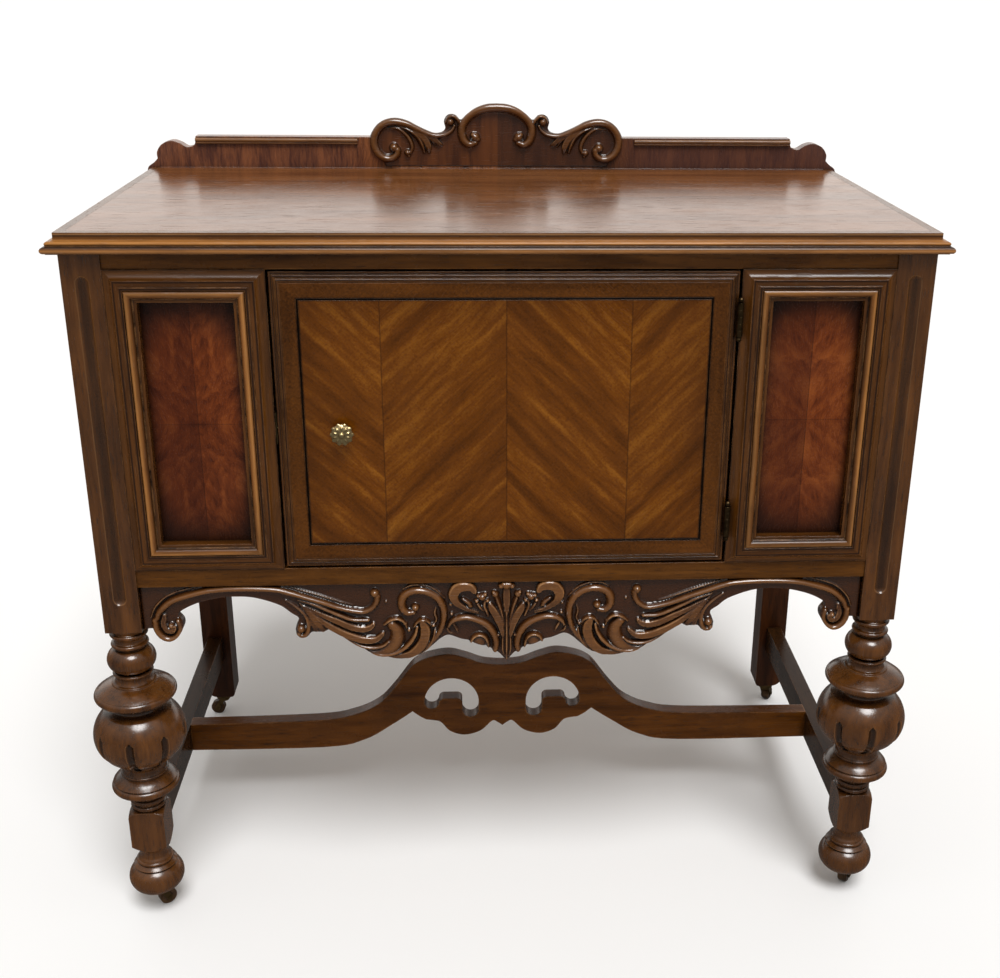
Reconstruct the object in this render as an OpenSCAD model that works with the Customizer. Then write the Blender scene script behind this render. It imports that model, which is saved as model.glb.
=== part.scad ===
// Console cabinet in the Jacobean revival manner: a flat moulded top with a carved back gallery, a centre door
// between two framed panels, turned front legs joined by a pierced stretcher, and four swivelling casters.
// Millimetres. +X is the cabinet's right seen from the front, +Y its back and +Z up; the floor is z = 0.

/* [Overall] */
// Width over the moulded edge of the top
top_w = 1067; // [960:1:1280]
// Height of the top surface above the floor
top_z = 967; // [900:1:1160]
// Depth of the case, from the front of the posts to the back of the rear legs
case_d = 565; // [480:1:680]

/* [Top] */
// Thickness of the top
top_t = 24; // [20:1:32]
// How far the moulded edge stands out past the posts
top_over = 15.5; // [10:0.5:24]
// Width of the moulded edge, in from its tip
edge_w = 24.5; // [24:0.5:30]
// How far the top runs past the rear legs
top_back = 2; // [0:1:12]

/* [Gallery] */
// Distance from the back of the gallery to the back of the legs
gallery_in = 25; // [10:1:60]
// Thickness of the gallery board
gallery_t = 22; // [16:1:26]
// Height of the gallery board above the top
gallery_h = 46; // [40:1:60]
// Thickness of the carved crest
crest_t = 10; // [6:1:14]
// Height of the crest above the top
crest_h = 97; // [90:1:116]
// Depth that the gallery's foot is let into the top
gallery_seat = 3; // [2:0.5:8]

/* [Legs] */
// Side of the square front posts
post_s = 47; // [42:1:56]
// Height of the post's lower end, where the turning starts
post_z = 449; // [440:1:520]
// Width of the flute in the front posts
flute_w = 17.5; // [12:0.5:22]
// Depth of the flute
flute_d = 4; // [2:0.5:6]
// Largest radius of the turned bulb
bulb_r = 60.5; // [52:0.5:64]
// Side of the square rear legs
rear_s = 47; // [38:1:54]
// How far the sides and rear legs stand back from the posts' outer faces
side_inset = 4; // [0:0.5:8]
// Height of the rear legs' lower end
rear_foot_z = 44; // [40:1:60]

/* [Case] */
// Height of the underside of the lower rail, where the apron hangs
rail_z = 513; // [500:1:560]
// Height of the lower rail
rail_h = 24; // [20:1:36]
// Height of the upper rail
upper_rail_h = 19.5; // [14:0.5:30]
// Thickness of the rails
rail_t = 22; // [18:1:26]
// Height of the rails at the sides and back
side_rail_h = 44; // [36:1:60]
// Thickness of the side and back panels
panel_t = 8; // [5:0.5:10]
// Thickness of the floor board and the shelf
board_t = 17; // [14:1:22]
// Height of the shelf's underside above the floor board
shelf_up = 185; // [120:1:240]

/* [Framed panels] */
// Width of each framed panel
frame_w = 188; // [150:1:200]
// Width of the frame's cove moulding
cove_w = 23.5; // [20:0.5:26]
// How far the cove moulding stands proud
cove_out = 9; // [6:0.5:12]
// Width of the bead moulding inside the cove
bead_w = 14.5; // [13:0.5:18]
// How far the veneered panel lies back
veneer_back = 8; // [6:0.5:12]
// Thickness of the veneered panel
veneer_t = 12; // [8:0.5:16]

/* [Door] */
// Gap round the door
door_gap = 3; // [3:0.5:4]
// Thickness of the door's core
door_t = 18; // [16:1:22]
// Width of the stepped moulding round the door
step_w = 12.5; // [11:0.5:16]
// How far the door's field stands out past the core
field_out = 8; // [6:0.5:10]
// Distance from the door's edge to the inlaid line
line_in = 31; // [26:0.5:40]
// Width of the inlaid line
line_w = 2.4; // [1.6:0.2:4]
// Distance from the door's opening edge to the middle of the knob
knob_in = 79; // [40:1:120]
// Height of the knob above the door's lower end
knob_up = 184; // [120:1:260]
// Radius of the knob's rosette
knob_r = 14.5; // [12:0.5:18]
// Length of each hinge's barrel
hinge_l = 42; // [34:1:56]
// Radius of the hinge's barrel
hinge_r = 4; // [3.5:0.25:4.5]
// Radius of the hinge's pin
pin_r = 2; // [1.5:0.25:2.25]
// How far the hinges' centres are from the door's ends
hinge_in = 58; // [50:1:90]

/* [Stretchers] */
// Height of the stretchers' underside
stretch_z = 118; // [116:1:118]
// Height of the stretchers
stretch_h = 45; // [40:1:46]
// Thickness of the side stretchers
side_stretch_t = 24; // [18:1:28]
// Thickness of the centre stretcher
mid_stretch_t = 22; // [16:1:26]
// Distance from the front of the posts to the centre stretcher
mid_stretch_y = 236; // [180:1:300]

/* [Casters] */
// Radius of the wheels
wheel_r = 12; // [10:0.5:12]
// Width of the wheels
wheel_w = 13; // [10:0.5:14]
// Distance from the stem to the axle
trail = 11; // [8:0.5:12]
// Radius of the stem
stem_r = 4; // [3:0.5:4.5]
// Radius of the axle
axle_r = 2; // [1.5:0.25:2.5]
// Running clearance, on the radius
fit = 0.05; // [0.03:0.01:0.1]

/* [Hidden] */
$fn = 64;
eps = 0.01;
case_w = top_w - 2 * top_over;
half = case_w / 2;
post_x = half - post_s / 2;
post_in = half - post_s;
rear_out = half - side_inset;
rear_x = rear_out - rear_s / 2;
rear_in = rear_out - rear_s;
rear_y = case_d - rear_s;
// The case's front lies here, so that the origin is under the middle of the whole cabinet
front_reach = bulb_r - post_s / 2;
front_y = front_reach - (front_reach + case_d + top_back) / 2;
case_top = top_z - top_t;
face_lo = rail_z + rail_h;
face_hi = case_top - upper_rail_h;
rail_back = 2;
frame_in = post_in - frame_w;
door_half = frame_in - door_gap;
door_lo = face_lo + door_gap;
door_hi = face_hi - door_gap;
door_front = 6;
field_y = door_front - field_out;
stile_w = 38;
stile_t = 20;
stile_y = door_front + door_t + 0.5;
axis_x = frame_in - door_gap / 2;
axis_y = -hinge_r - 1.5;
leaf_t = 1.3;
leaf_d = 20;
catch_z = door_lo + knob_up;
knob_x = door_half - knob_in;
gallery_y = case_d - gallery_in - gallery_t;
ball_r = 3;
ball_out = 1.5;
flange_z = 34;
flange_t = 2;
tube_r = stem_r + 2;
tube_top = flange_z + 28;
crown_z = 27;
crown_t = 4.5;
cheek_t = 2;
cheek_gap = 0.6;
// Rest headings of the casters: front left, front right, rear left, rear right
headings = [35, 55, 175, 55];
foot_z = [flange_z, flange_z, rear_foot_z, rear_foot_z];
crest_w = 386;
side_rail_t = 20;
panel_lo = rail_z + side_rail_h;
panel_hi = case_top - side_rail_h;

// A smooth curve through hand-set points, with n steps from each to the next
function at(p, i) = p[max(0, min(len(p) - 1, i))];
function between(a, b, c, d, t) =
    0.5 * (2 * b + (c - a) * t + (2 * a - 5 * b + 4 * c - d) * t * t + (3 * b - a - 3 * c + d) * t * t * t);
function smooth(p, n = 5) = concat(
    [for (i = [0 : len(p) - 2]) for (k = [0 : n - 1]) between(at(p, i - 1), p[i], p[i + 1], at(p, i + 2), k / n)],
    [p[len(p) - 1]]);

// The same points mirrored in x and run backwards, with a point on the mirror line left out
function flip(p) = [for (i = [len(p) - 1 : -1 : 0]) if (p[i].x != 0) [-p[i].x, p[i].y]];

// Everything is drawn with y = 0 at the front of the posts and then moved to its place
module place() translate([0, front_y, 0]) children();

// A board between two corners
module board(low, high) translate(low) cube(high - low);

// An outline drawn in x and z, given a thickness behind the plane y
module slab(y, t) translate([0, y + t, 0]) rotate([90, 0, 0]) linear_extrude(t) children();

// An outline and its mirror image
module both() {
    children();
    mirror([1, 0, 0]) children();
}

// Keeps or flips for the left (-1) or the right (1) side
module on_side(s) if (s > 0) children(); else mirror([1, 0, 0]) children();

// ---- Top ----

// The edge's section: x is the distance out from the flat and y the height over the top's underside
module edge_section() {
    square([edge_w - 13, top_t]);
    difference() {
        square([edge_w - 8, top_t - 3]);
        translate([edge_w - 8, top_t - 3]) circle(7);
    }
    square([edge_w - 5, 10]);
    translate([edge_w - 7.5, top_t - 12]) circle(2.6);
    translate([edge_w - 4, 5]) circle(4);
    translate([0, 1]) square([edge_w - 4, 8]);
}

// A side's edge, from the mitre at the front corner to the back
module side_edge() {
    tip = -top_over;
    intersection() {
        translate([top_w / 2 - edge_w, case_d + top_back, case_top]) rotate([90, 0, 0])
            linear_extrude(case_d + top_back + top_over) edge_section();
        translate([0, 0, case_top]) linear_extrude(top_t) polygon([
            [top_w / 2, tip], [top_w / 2, case_d + top_back],
            [top_w / 2 - edge_w, case_d + top_back], [top_w / 2 - edge_w, tip + edge_w]
        ]);
    }
}

module front_edge() {
    tip = -top_over;
    intersection() {
        translate([-top_w / 2, tip + edge_w, case_top]) rotate([90, 0, 90])
            linear_extrude(top_w) mirror([1, 0]) edge_section();
        translate([0, 0, case_top]) linear_extrude(top_t) polygon([
            [-top_w / 2, tip], [top_w / 2, tip],
            [top_w / 2 - edge_w, tip + edge_w], [-top_w / 2 + edge_w, tip + edge_w]
        ]);
    }
}

// The gallery's foot, which reaches forward under the crest and lies in a trench in the top
module gallery_foot() board([-top_w / 2 + edge_w, gallery_y - crest_t, top_z - gallery_seat],
    [top_w / 2 - edge_w, gallery_y + gallery_t, top_z]);

module top_panel() color("#5b2f1c") place() difference() {
    board([-top_w / 2 + edge_w, edge_w - top_over, case_top], [top_w / 2 - edge_w, case_d + top_back, top_z]);
    gallery_foot();
}

module top_edge_front() color("#4a2416") place() front_edge();

module top_edge_side(s) color("#4a2416") place() on_side(s) side_edge();

// ---- Gallery ----

// The gallery board's outline over the top, with the ears that lap over the moulded edge
module gallery_outline() {
    flat = top_w / 2 - edge_w;
    hump = smooth([
        [flat - 56, gallery_h - 4], [flat - 53, gallery_h - 13], [flat - 42, gallery_h - 16],
        [flat - 31, gallery_h - 10], [flat - 19, gallery_h - 7], [flat - 5, gallery_h - 12],
        [flat + 3, gallery_h - 23], [flat + 3, gallery_h - 33]
    ]);
    ear = smooth([[flat + 3, gallery_h - 33], [flat + 9, gallery_h - 39], [flat + 18, 0], [flat + 20, -12]], 4);
    half = concat([[flat - 56, gallery_h]], hump, ear, [[flat, -12], [flat, 0]]);
    translate([0, top_z]) polygon(concat(half, flip(half)));
}

module gallery_board() color("#5b2f1c") place() {
    difference() {
        slab(gallery_y, gallery_t) gallery_outline();
        both() side_edge();
    }
    gallery_foot();
}

bead_from = crest_w / 2 + 18;
bead_to = top_w / 2 - edge_w - 56;

module gallery_beads() color("#7a4a2c") place() both() translate([bead_from, gallery_y, top_z + gallery_h - 10])
    rotate([90, 0, 90]) linear_extrude(bead_to - bead_from) {
        translate([-3, 0]) square([3, 8]);
        translate([-3, 5]) circle(3);
        translate([-3, 1]) circle(1.6);
    }

// The crest's outline: a horseshoe in the middle and an arm with a volute at each side
module crest_outline() {
    ring_r = crest_h - 37.5;
    volute = crest_w / 2 - 34;
    translate([0, 37.5]) circle(ring_r);
    both() {
        translate([volute, 41]) circle(34);
        polygon(smooth([
            [volute, 75], [128, 66], [94, 56], [80, 74], [70, 78], [58, 74], [40, 60],
            [40, 30], [70, 24], [106, 24], [128, 24], [volute, 7]
        ]));
    }
}

module gallery_crest() color("#6b3a20") place() slab(gallery_y - crest_t, crest_t) translate([0, top_z])
    intersection() {
        crest_outline();
        translate([-crest_w / 2, 0]) square([crest_w, crest_h]);
    }

// ---- Legs ----

// A round bead, ball or disc: r is its outer radius and h its half height
module ring(z, r, h) rotate_extrude() translate([0, z]) {
    intersection() {
        translate([r - h, 0]) circle(h);
        translate([0, -h]) square([r, 2 * h]);
    }
    translate([0, -h]) square([r - h, 2 * h]);
}

// A turned length that narrows or widens along a smooth curve of [radius, height] points
module waist(points) rotate_extrude() polygon(concat([[0, points[0].y]], smooth(points),
    [[0, points[len(points) - 1].y]]));

// A square block whose four corners run out in rounded shoulders at its top
module shouldered(side, low, high) intersection() {
    translate([-side / 2, -side / 2, low]) cube([side, side, high - low]);
    union() {
        translate([0, 0, low]) cylinder(h = high - low - side * 0.2, r = side);
        translate([0, 0, high - side * 0.2]) cylinder(h = side * 0.2, r1 = side * 0.71, r2 = side * 0.5);
    }
}

bulb_z = post_z - 159;
bulb_arc = 46;
block_lo = 111;
block_hi = 168;

// The long flute: a round channel with round ends, along the post's front face
module flute() {
    cut_r = (flute_w * flute_w / 4 + flute_d * flute_d) / (2 * flute_d);
    low = post_z + 48;
    high = case_top - 36;
    translate([0, -post_s / 2 - cut_r + flute_d, 0]) {
        translate([0, 0, low]) cylinder(h = high - low, r = cut_r);
        translate([0, 0, low]) sphere(cut_r);
        translate([0, 0, high]) sphere(cut_r);
    }
}

// Stopped gouges round the lower half of the bulb, which follow its curve
module gouges() for (k = [0 : 7]) rotate([0, 0, 22.5 + 45 * k]) translate([bulb_r - bulb_arc, 0, bulb_z])
    rotate([90, 0, 0]) rotate([0, 0, -62]) rotate_extrude(angle = 56) translate([bulb_arc + 2, 0]) circle(4.6);

module turning() {
    waist([[21, post_z - 36], [19, post_z - 22], [22, post_z - 8], [23.4, post_z]]);
    ring(post_z - 25, 21.5, 5);
    ring(post_z - 51, 31.5, 14.5);
    waist([[40, post_z - 92], [26, post_z - 84], [21, post_z - 74], [20, post_z - 64]]);
    ring(post_z - 70, 23, 3);
    ring(post_z - 99, 53.5, 7);
    waist([[34, bulb_z + 40], [30, bulb_z + 47], [36, bulb_z + 53]]);
    difference() {
        ring(bulb_z, bulb_r, bulb_arc);
        gouges();
    }
    waist([[40, block_hi + 46], [27, block_hi + 54], [22, block_hi + 62], [26, bulb_z - bulb_arc + 6]]);
    ring(bulb_z - bulb_arc - 1, 32, 3.5);
    ring(block_hi + 39, 45, 7);
    waist([[22, block_hi - 1], [20, block_hi + 22], [27, block_hi + 28], [38, block_hi + 33]]);
    ring(block_hi + 14, 24.5, 4);
    ring(block_hi + 6, 23.4, 4);
}

module foot() {
    waist([[24, 77], [19, 86], [19, 98], [23.4, block_lo + 1]]);
    ring(82, 24.5, 3.5);
    ring(flange_z + 22, 37.5, 22);
}

module front_leg(s) color("#4a2416") place() translate([s * post_x, post_s / 2, 0]) difference() {
    union() {
        translate([-post_s / 2, -post_s / 2, post_z]) cube([post_s, post_s, case_top - post_z]);
        turning();
        shouldered(post_s, block_lo, block_hi);
        foot();
    }
    flute();
    rotate([0, 0, s * 90]) flute();
    translate([0, 0, flange_z - 1]) cylinder(h = tube_top - flange_z + 1, r = tube_r);
}

// The rear leg's outline: straight, with its lower corners rounded off, the outer one more
module rear_outline() {
    r = 6;
    R = 18;
    difference() {
        polygon([[rear_in, case_top], [rear_out, case_top], [rear_out, rear_foot_z], [rear_in, rear_foot_z]]);
        translate([rear_in - eps, rear_foot_z - eps]) difference() {
            square(r);
            translate([r, r]) circle(r);
        }
        translate([rear_out - R + eps, rear_foot_z - eps]) difference() {
            square(R);
            translate([0, R]) circle(R);
        }
    }
}

module rear_leg(s) color("#43210f") place() on_side(s) difference() {
    slab(rear_y, rear_s) rear_outline();
    translate([rear_x, rear_y + rear_s / 2, rear_foot_z - 1]) cylinder(h = tube_top - flange_z + 1, r = tube_r);
}

// ---- Case ----

module upper_rail() color("#4a2416") place()
    board([-post_in, rail_back, face_hi], [post_in, rail_back + rail_t, case_top]);

module lower_rail() color("#4a2416") place()
    board([-post_in, rail_back, rail_z], [post_in, rail_back + rail_t, face_lo]);

module side_rails(s) color("#5b2f1c") place() on_side(s) {
    x = rear_out - side_rail_t;
    board([x, post_s, rail_z], [rear_out, rear_y, panel_lo]);
    board([x, post_s, panel_hi], [rear_out, rear_y, case_top]);
}

module side_panel(s) color("#6b3a20") place() on_side(s)
    board([rear_out - 6 - panel_t, post_s, panel_lo], [rear_out - 6, rear_y, panel_hi]);

module back_rails() color("#6b4a30") place() {
    board([-rear_in, case_d - 20, rail_z], [rear_in, case_d - 2, panel_lo]);
    board([-rear_in, case_d - 20, panel_hi], [rear_in, case_d - 2, case_top]);
}

module back_panel() color("#6b4a30") place()
    board([-rear_in, case_d - 16, panel_lo], [rear_in, case_d - 16 + panel_t, panel_hi]);

module floor_board() color("#6b4a30") place() difference() {
    x = rear_out - side_rail_t;
    board([-x, rail_back + rail_t, face_lo - board_t], [x, case_d - 20, face_lo]);
    both() {
        board([post_in, 0, rail_z], [half, post_s, face_lo + 1]);
        board([rear_in, rear_y, rail_z], [half, case_d, face_lo + 1]);
    }
}

shelf_z = face_lo + shelf_up;
shelf_x = rear_out - 6 - panel_t;

module shelf() color("#6b4a30") place()
    board([-shelf_x + 1, post_s + 12, shelf_z], [shelf_x - 1, rear_y - 2, shelf_z + board_t]);

module shelf_cleats() color("#6b4a30") place() both()
    board([shelf_x - 18, post_s + 20, shelf_z - 18], [shelf_x, rear_y - 10, shelf_z]);

module front_stiles() color("#43210f") place() both() {
    x = frame_in - 21;
    board([x, stile_y, face_lo], [x + stile_w, stile_y + stile_t, case_top]);
    board([frame_in, veneer_back + veneer_t, face_lo], [x + stile_w, stile_y, face_hi]);
}

// ---- Apron ----

// The apron's shapes are set out on a half width of 471, and their places spread or close up with the posts
spread = post_in / 471;
function spread_out(points) = [for (p = points) [p.x * spread, p.y]];

// Right half of the apron's lower edge, from the post to the middle
apron_edge = spread_out(concat(
    smooth([[471, -64], [458, -64], [448, -79], [434, -80], [423, -68], [421, -50]]),
    smooth([[421, -50], [406, -31], [380, -22], [354, -19], [326, -21], [295, -32], [277, -51]]),
    smooth([[277, -51], [278, -68], [269, -80], [256, -73]]),
    smooth([[256, -73], [233, -73], [201, -95], [169, -106], [143, -112], [121, -112], [98, -103], [82, -86]]),
    smooth([[82, -86], [68, -82], [50, -88], [34, -92], [20, -100], [0, -118]])
));
apron_front = 8;
apron_t = 14;

module apron_board() color("#3d1d10") place() slab(apron_front, apron_t) translate([0, rail_z])
    polygon(concat([[post_in, 0]], apron_edge, flip(apron_edge), [[-post_in, 0]]));

// A curved band between two arcs of one centre, from angle a to angle b
module arc_band(r, w, a, b) intersection() {
    difference() {
        circle(r);
        circle(r - w);
    }
    polygon([[0, 0], [3 * r * cos(a), 3 * r * sin(a)],
        [3 * r * cos((a + b) / 2), 3 * r * sin((a + b) / 2)], [3 * r * cos(b), 3 * r * sin(b)]]);
}

// A place on the apron, across and up from the middle of its top
module spot(x, z) translate([x * spread, z]) children();

module carving_outline() {
    both() {
        spot(340, -130) arc_band(122, 10, 48, 130);
        spot(440, -62) circle(16);
        spot(268, -66) circle(12);
        spot(228, -52) arc_band(60, 12, 25, 100);
        spot(109, -40) arc_band(32, 11, -60, 60);
        spot(109, -40) arc_band(32, 11, 60, 180);
        spot(109, -76) circle(24);
        spot(160, -74) circle(20);
        spot(200, -62) circle(17);
        spot(34, -76) circle(13);
        spot(56, -30) circle(14);
    }
    translate([0, -36]) circle(30);
    translate([0, -84]) circle(22);
}

module apron_carving() color("#6b3a20") place() slab(apron_front - 8, 8) translate([0, rail_z]) intersection() {
    carving_outline();
    translate([-post_in, -200]) square([2 * post_in, 200]);
}

// ---- Framed panels ----

// A mitred frame between two corners, made of four sticks; the children are the section, drawn with
// x in from the outer edge and y forward
module frame_sticks(low, high, width) {
    w = high.x - low.x;
    h = high.y - low.y;
    for (k = [0 : 3]) {
        length = k % 2 == 0 ? w : h;
        across = k % 2 == 0 ? h : w;
        translate([(low.x + high.x) / 2, 0, (low.y + high.y) / 2]) rotate([0, 90 * k, 0]) intersection() {
            translate([length / 2, 0, across / 2]) rotate([0, 90, 180]) linear_extrude(length) children();
            slab(-50, 100) polygon([
                [-length / 2, across / 2], [length / 2, across / 2],
                [length / 2 - width, across / 2 - width], [-length / 2 + width, across / 2 - width]
            ]);
        }
    }
}

module panel_frame(s) color("#43210f") place() on_side(s)
    frame_sticks([frame_in, face_lo], [post_in, face_hi], cove_w) {
        cove_r = cove_w - 11;
        difference() {
            translate([0, -veneer_back]) square([cove_w, veneer_back + cove_out - 1]);
            translate([0, cove_r]) circle(cove_r);
        }
        translate([cove_w - 4, 0]) square([4, cove_out]);
    }

module panel_bead(s) color("#4a2416") place() on_side(s) {
    c = cove_w;
    frame_sticks([frame_in + c, face_lo + c], [post_in - c, face_hi - c], bead_w) {
        translate([0, -veneer_back]) square([bead_w - 4, veneer_back + cove_out - 3]);
        translate([4.75, cove_out - 3]) circle(4.75);
        translate([0, -veneer_back]) square([bead_w, veneer_back + 5]);
    }
}

module veneer_panel(s) color("#7d3a1c") place() on_side(s)
    board([frame_in, veneer_back, face_lo], [post_in, veneer_back + veneer_t, face_hi]);

// ---- Door ----

module door_core() color("#43210f") place() difference() {
    board([-door_half, door_front, door_lo], [door_half, door_front + door_t, door_hi]);
    translate([-knob_x, 0, catch_z]) rotate([-90, 0, 0]) cylinder(h = 60, r = 3 + fit);
    translate([-door_half - 1, door_front + door_t / 2, catch_z]) rotate([0, 90, 0]) cylinder(h = 19, r = ball_r + 2);
}

module door_moulding() color("#43210f") place()
    frame_sticks([-door_half, door_lo], [door_half, door_hi], step_w) translate([0, -door_front]) {
        square([step_w, 3]);
        translate([3.5, 0]) square([step_w - 3.5, field_out - 3]);
        translate([8, 0]) square([step_w - 8, field_out - 1]);
        translate([5, field_out - 3.5]) circle(1.5);
        translate([9.5, field_out - 2]) circle(1.5);
    }

// The door's raised field and the square line inlaid in it
module line_ring(y, t) slab(y, t) difference() {
    translate([-door_half + line_in, door_lo + line_in])
        square([2 * (door_half - line_in), door_hi - door_lo - 2 * line_in]);
    translate([-door_half + line_in + line_w, door_lo + line_in + line_w])
        square([2 * (door_half - line_in - line_w), door_hi - door_lo - 2 * (line_in + line_w)]);
}

module door_field() color("#8a4f28") place() difference() {
    board([-door_half + step_w, field_y, door_lo + step_w], [door_half - step_w, door_front, door_hi - step_w]);
    line_ring(field_y, 1.2);
    translate([-knob_x, -10, catch_z]) rotate([-90, 0, 0]) cylinder(h = 60, r = 3 + fit);
}

module door_line() color("#141010") place() line_ring(field_y, 1.2);

hinge_z = [door_hi - hinge_in, door_lo + hinge_in];
knuckle = hinge_l / 5;

// One leaf's knuckles and plate: side 1 is the case's (three knuckles), side -1 the door's (two)
module leaf(side) difference() {
    union() {
        for (k = side > 0 ? [0, 2, 4] : [1, 3]) translate([0, 0, -hinge_l / 2 + k * knuckle + 0.1]) {
            cylinder(h = knuckle - 0.2, r = hinge_r);
            translate([side > 0 ? 0.2 : -0.2 - leaf_t, 0, 0]) cube([leaf_t, 2 - axis_y, knuckle - 0.2]);
        }
        translate([side > 0 ? 0.2 : -0.2 - leaf_t, hinge_r + 1, -hinge_l / 2 + 0.1])
            cube([leaf_t, leaf_d, hinge_l - 0.2]);
    }
    translate([0, 0, -hinge_l]) cylinder(h = 2 * hinge_l, r = pin_r + (side > 0 ? 0 : fit));
    for (z = [-1, 0, 1]) translate([0, screw_y, z * screw_step]) rotate([0, 90, 0])
        cylinder(h = 20, r = 1.6, center = true);
}

screw_y = hinge_r + 1 + leaf_d * 0.6;
screw_step = hinge_l * 0.33;

module at_hinge(i) place() translate([axis_x, axis_y, hinge_z[i]]) children();

module hinge_case(i) color("#6f5a34") at_hinge(i) leaf(1);

module hinge_door(i) color("#6f5a34") at_hinge(i) leaf(-1);

finial_r = hinge_r - 0.6;

// The pin, with a ball finial at each end
module hinge_pin(i) color("#7d6638") at_hinge(i) {
    cylinder(h = hinge_l + 4, r = pin_r, center = true);
    for (s = [-1, 1]) translate([0, 0, s * (hinge_l / 2 + finial_r)]) sphere(finial_r);
}

// The screws' heads, which fill the leaves' holes
module hinge_screws(side) color("#6f5a34") for (i = [0, 1], z = [-1, 0, 1]) at_hinge(i)
    translate([side > 0 ? 0.2 : -0.2, screw_y, z * screw_step]) rotate([0, side * 90, 0])
        cylinder(h = leaf_t, r = 1.6);

module knob() color("#9a7a3c") place() translate([-knob_x, field_y, catch_z]) rotate([90, 0, 0]) difference() {
    union() {
        cylinder(h = 3, r = 8);
        cylinder(h = 14, r = 5);
        translate([0, 0, 11]) cylinder(h = 5, r = knob_r - 3);
        for (k = [0 : 7]) rotate([0, 0, 45 * k]) translate([knob_r - 4.6, 0, 14]) sphere(4.6);
        translate([0, 0, 16]) sphere(5);
    }
    translate([0, 0, -1]) cylinder(h = 9, r = 2);
}

module knob_bolt() color("#8a8578") place() translate([-knob_x, field_y - 8, catch_z]) rotate([-90, 0, 0]) {
    cylinder(h = 8, r = 2);
    translate([0, 0, 8]) cylinder(h = field_out + door_t, r = 3);
    translate([0, 0, 8 + field_out + door_t]) cylinder(h = 3, r = 6);
}

module at_catch() place() translate([-door_half, door_front + door_t / 2, catch_z]) rotate([0, 90, 0]) children();

module catch_barrel() color("#9a7a3c") at_catch() difference() {
    cylinder(h = 18, r = ball_r + 2);
    translate([0, 0, -1]) cylinder(h = 15, r = ball_r + fit);
}

module catch_ball() color("#b0aca0") at_catch() translate([0, 0, ball_r - ball_out]) sphere(ball_r);

module strike_plate() color("#9a7a3c") place() difference() {
    board([-frame_in, veneer_back + 0.5, catch_z - 20], [-frame_in + 0.8, veneer_back + veneer_t, catch_z + 20]);
    translate([-frame_in - 1, door_front + door_t / 2, catch_z]) rotate([0, 90, 0]) cylinder(h = 4, r = 3.2);
}

// ---- Stretchers ----

stretch_top = stretch_z + stretch_h;
side_stretch_x = post_x - 2.5;
mid_half = side_stretch_x - side_stretch_t / 2;

module side_stretcher(s) color("#43210f") place() on_side(s)
    board([mid_half, post_s, stretch_z], [mid_half + side_stretch_t, rear_y, stretch_top]);

// The centre stretcher's outline: two humps and a dip over pierced scrolls
module stretcher_outline() {
    top = smooth([
        [mid_half, 0], [287, 3], [229, 12], [191, 30], [166, 57], [143, 89], [131, 101], [112, 110],
        [82, 115], [55, 108], [29, 98], [0, 95]
    ]);
    low = concat(
        smooth([[0, -12], [8, -6], [16, -4], [34, -21], [59, -28], [81, -21], [93, -7], [100, -2], [118, 1]]),
        smooth([[118, 1], [128, 7], [139, 16]]),
        smooth([[139, 16], [170, -6], [215, -33], [278, -45], [mid_half, -45]])
    );
    polygon(concat(top, flip(top), flip(low), low));
}

// One pierced scroll: an arch with a long inner leg and a short outer one, round a flat-topped tongue
module scroll_slot() {
    difference() {
        translate([78.5, 31]) circle(42);
        translate([62, -20]) square([36, 49]);
        translate([70, -20]) square([20, 57]);
        translate([70, 29]) circle(8);
        translate([90, 29]) circle(8);
        translate([30, -30]) square([100, 61]);
    }
    translate([36.5, 16.8]) square([25.5, 14.4]);
    translate([49.25, 16.8]) circle(12.75);
    translate([109.25, 31]) circle(11.25);
}

module centre_stretcher() color("#4a2416") place() slab(mid_stretch_y, mid_stretch_t)
    translate([0, stretch_top]) difference() {
        stretcher_outline();
        both() scroll_slot();
    }

// ---- Casters ----

spots = [[-post_x, post_s / 2], [post_x, post_s / 2],
    [-rear_x, rear_y + rear_s / 2], [rear_x, rear_y + rear_s / 2]];

// The pressed-in tube and its flange, longer under the rear legs' shorter feet
module socket(i) translate([spots[i].x, spots[i].y, 0]) difference() {
    union() {
        translate([0, 0, flange_z - flange_t]) cylinder(h = foot_z[i] - flange_z + flange_t, r = 13);
        translate([0, 0, flange_z]) cylinder(h = tube_top - flange_z + foot_z[i] - flange_z, r = tube_r);
    }
    translate([0, 0, flange_z - flange_t - 1]) cylinder(h = tube_top - flange_z, r = stem_r + fit);
}

module caster_sockets() color("#5a5040") place() for (i = [0 : 3]) socket(i);

module at_caster(i) place() translate([spots[i].x, spots[i].y, 0]) rotate([0, 0, headings[i]]) children();

module caster_fork(i) color("#5a5040") at_caster(i) {
    inner = wheel_w / 2 + cheek_gap;
    cylinder_top = tube_top - 5;
    translate([0, 0, crown_z]) cylinder(h = crown_t, r = inner + cheek_t);
    translate([0, 0, crown_z]) cylinder(h = cylinder_top - crown_z, r = stem_r);
    for (s = [-1, 1]) translate([0, s * (inner + cheek_t / 2) + cheek_t / 2, 0]) rotate([90, 0, 0])
        linear_extrude(cheek_t) {
            translate([trail, wheel_r]) circle(axle_r + 2.5);
            polygon([[-4, crown_z + crown_t], [6, crown_z + crown_t],
                [trail + axle_r + 2.5, wheel_r], [trail - axle_r - 2.5, wheel_r]]);
        }
    translate([trail, 0, wheel_r]) rotate([90, 0, 0])
        cylinder(h = 2 * (inner + cheek_t + 0.8), r = axle_r, center = true);
}

module caster_wheel(i) color("#2c241c") at_caster(i) translate([trail, 0, wheel_r]) rotate([90, 0, 0])
    difference() {
        union() {
            cylinder(h = wheel_w - 3, r = wheel_r, center = true);
            cylinder(h = wheel_w, r = wheel_r - 1.5, center = true);
        }
        cylinder(h = 2 * wheel_w, r = axle_r + fit, center = true);
    }

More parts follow.
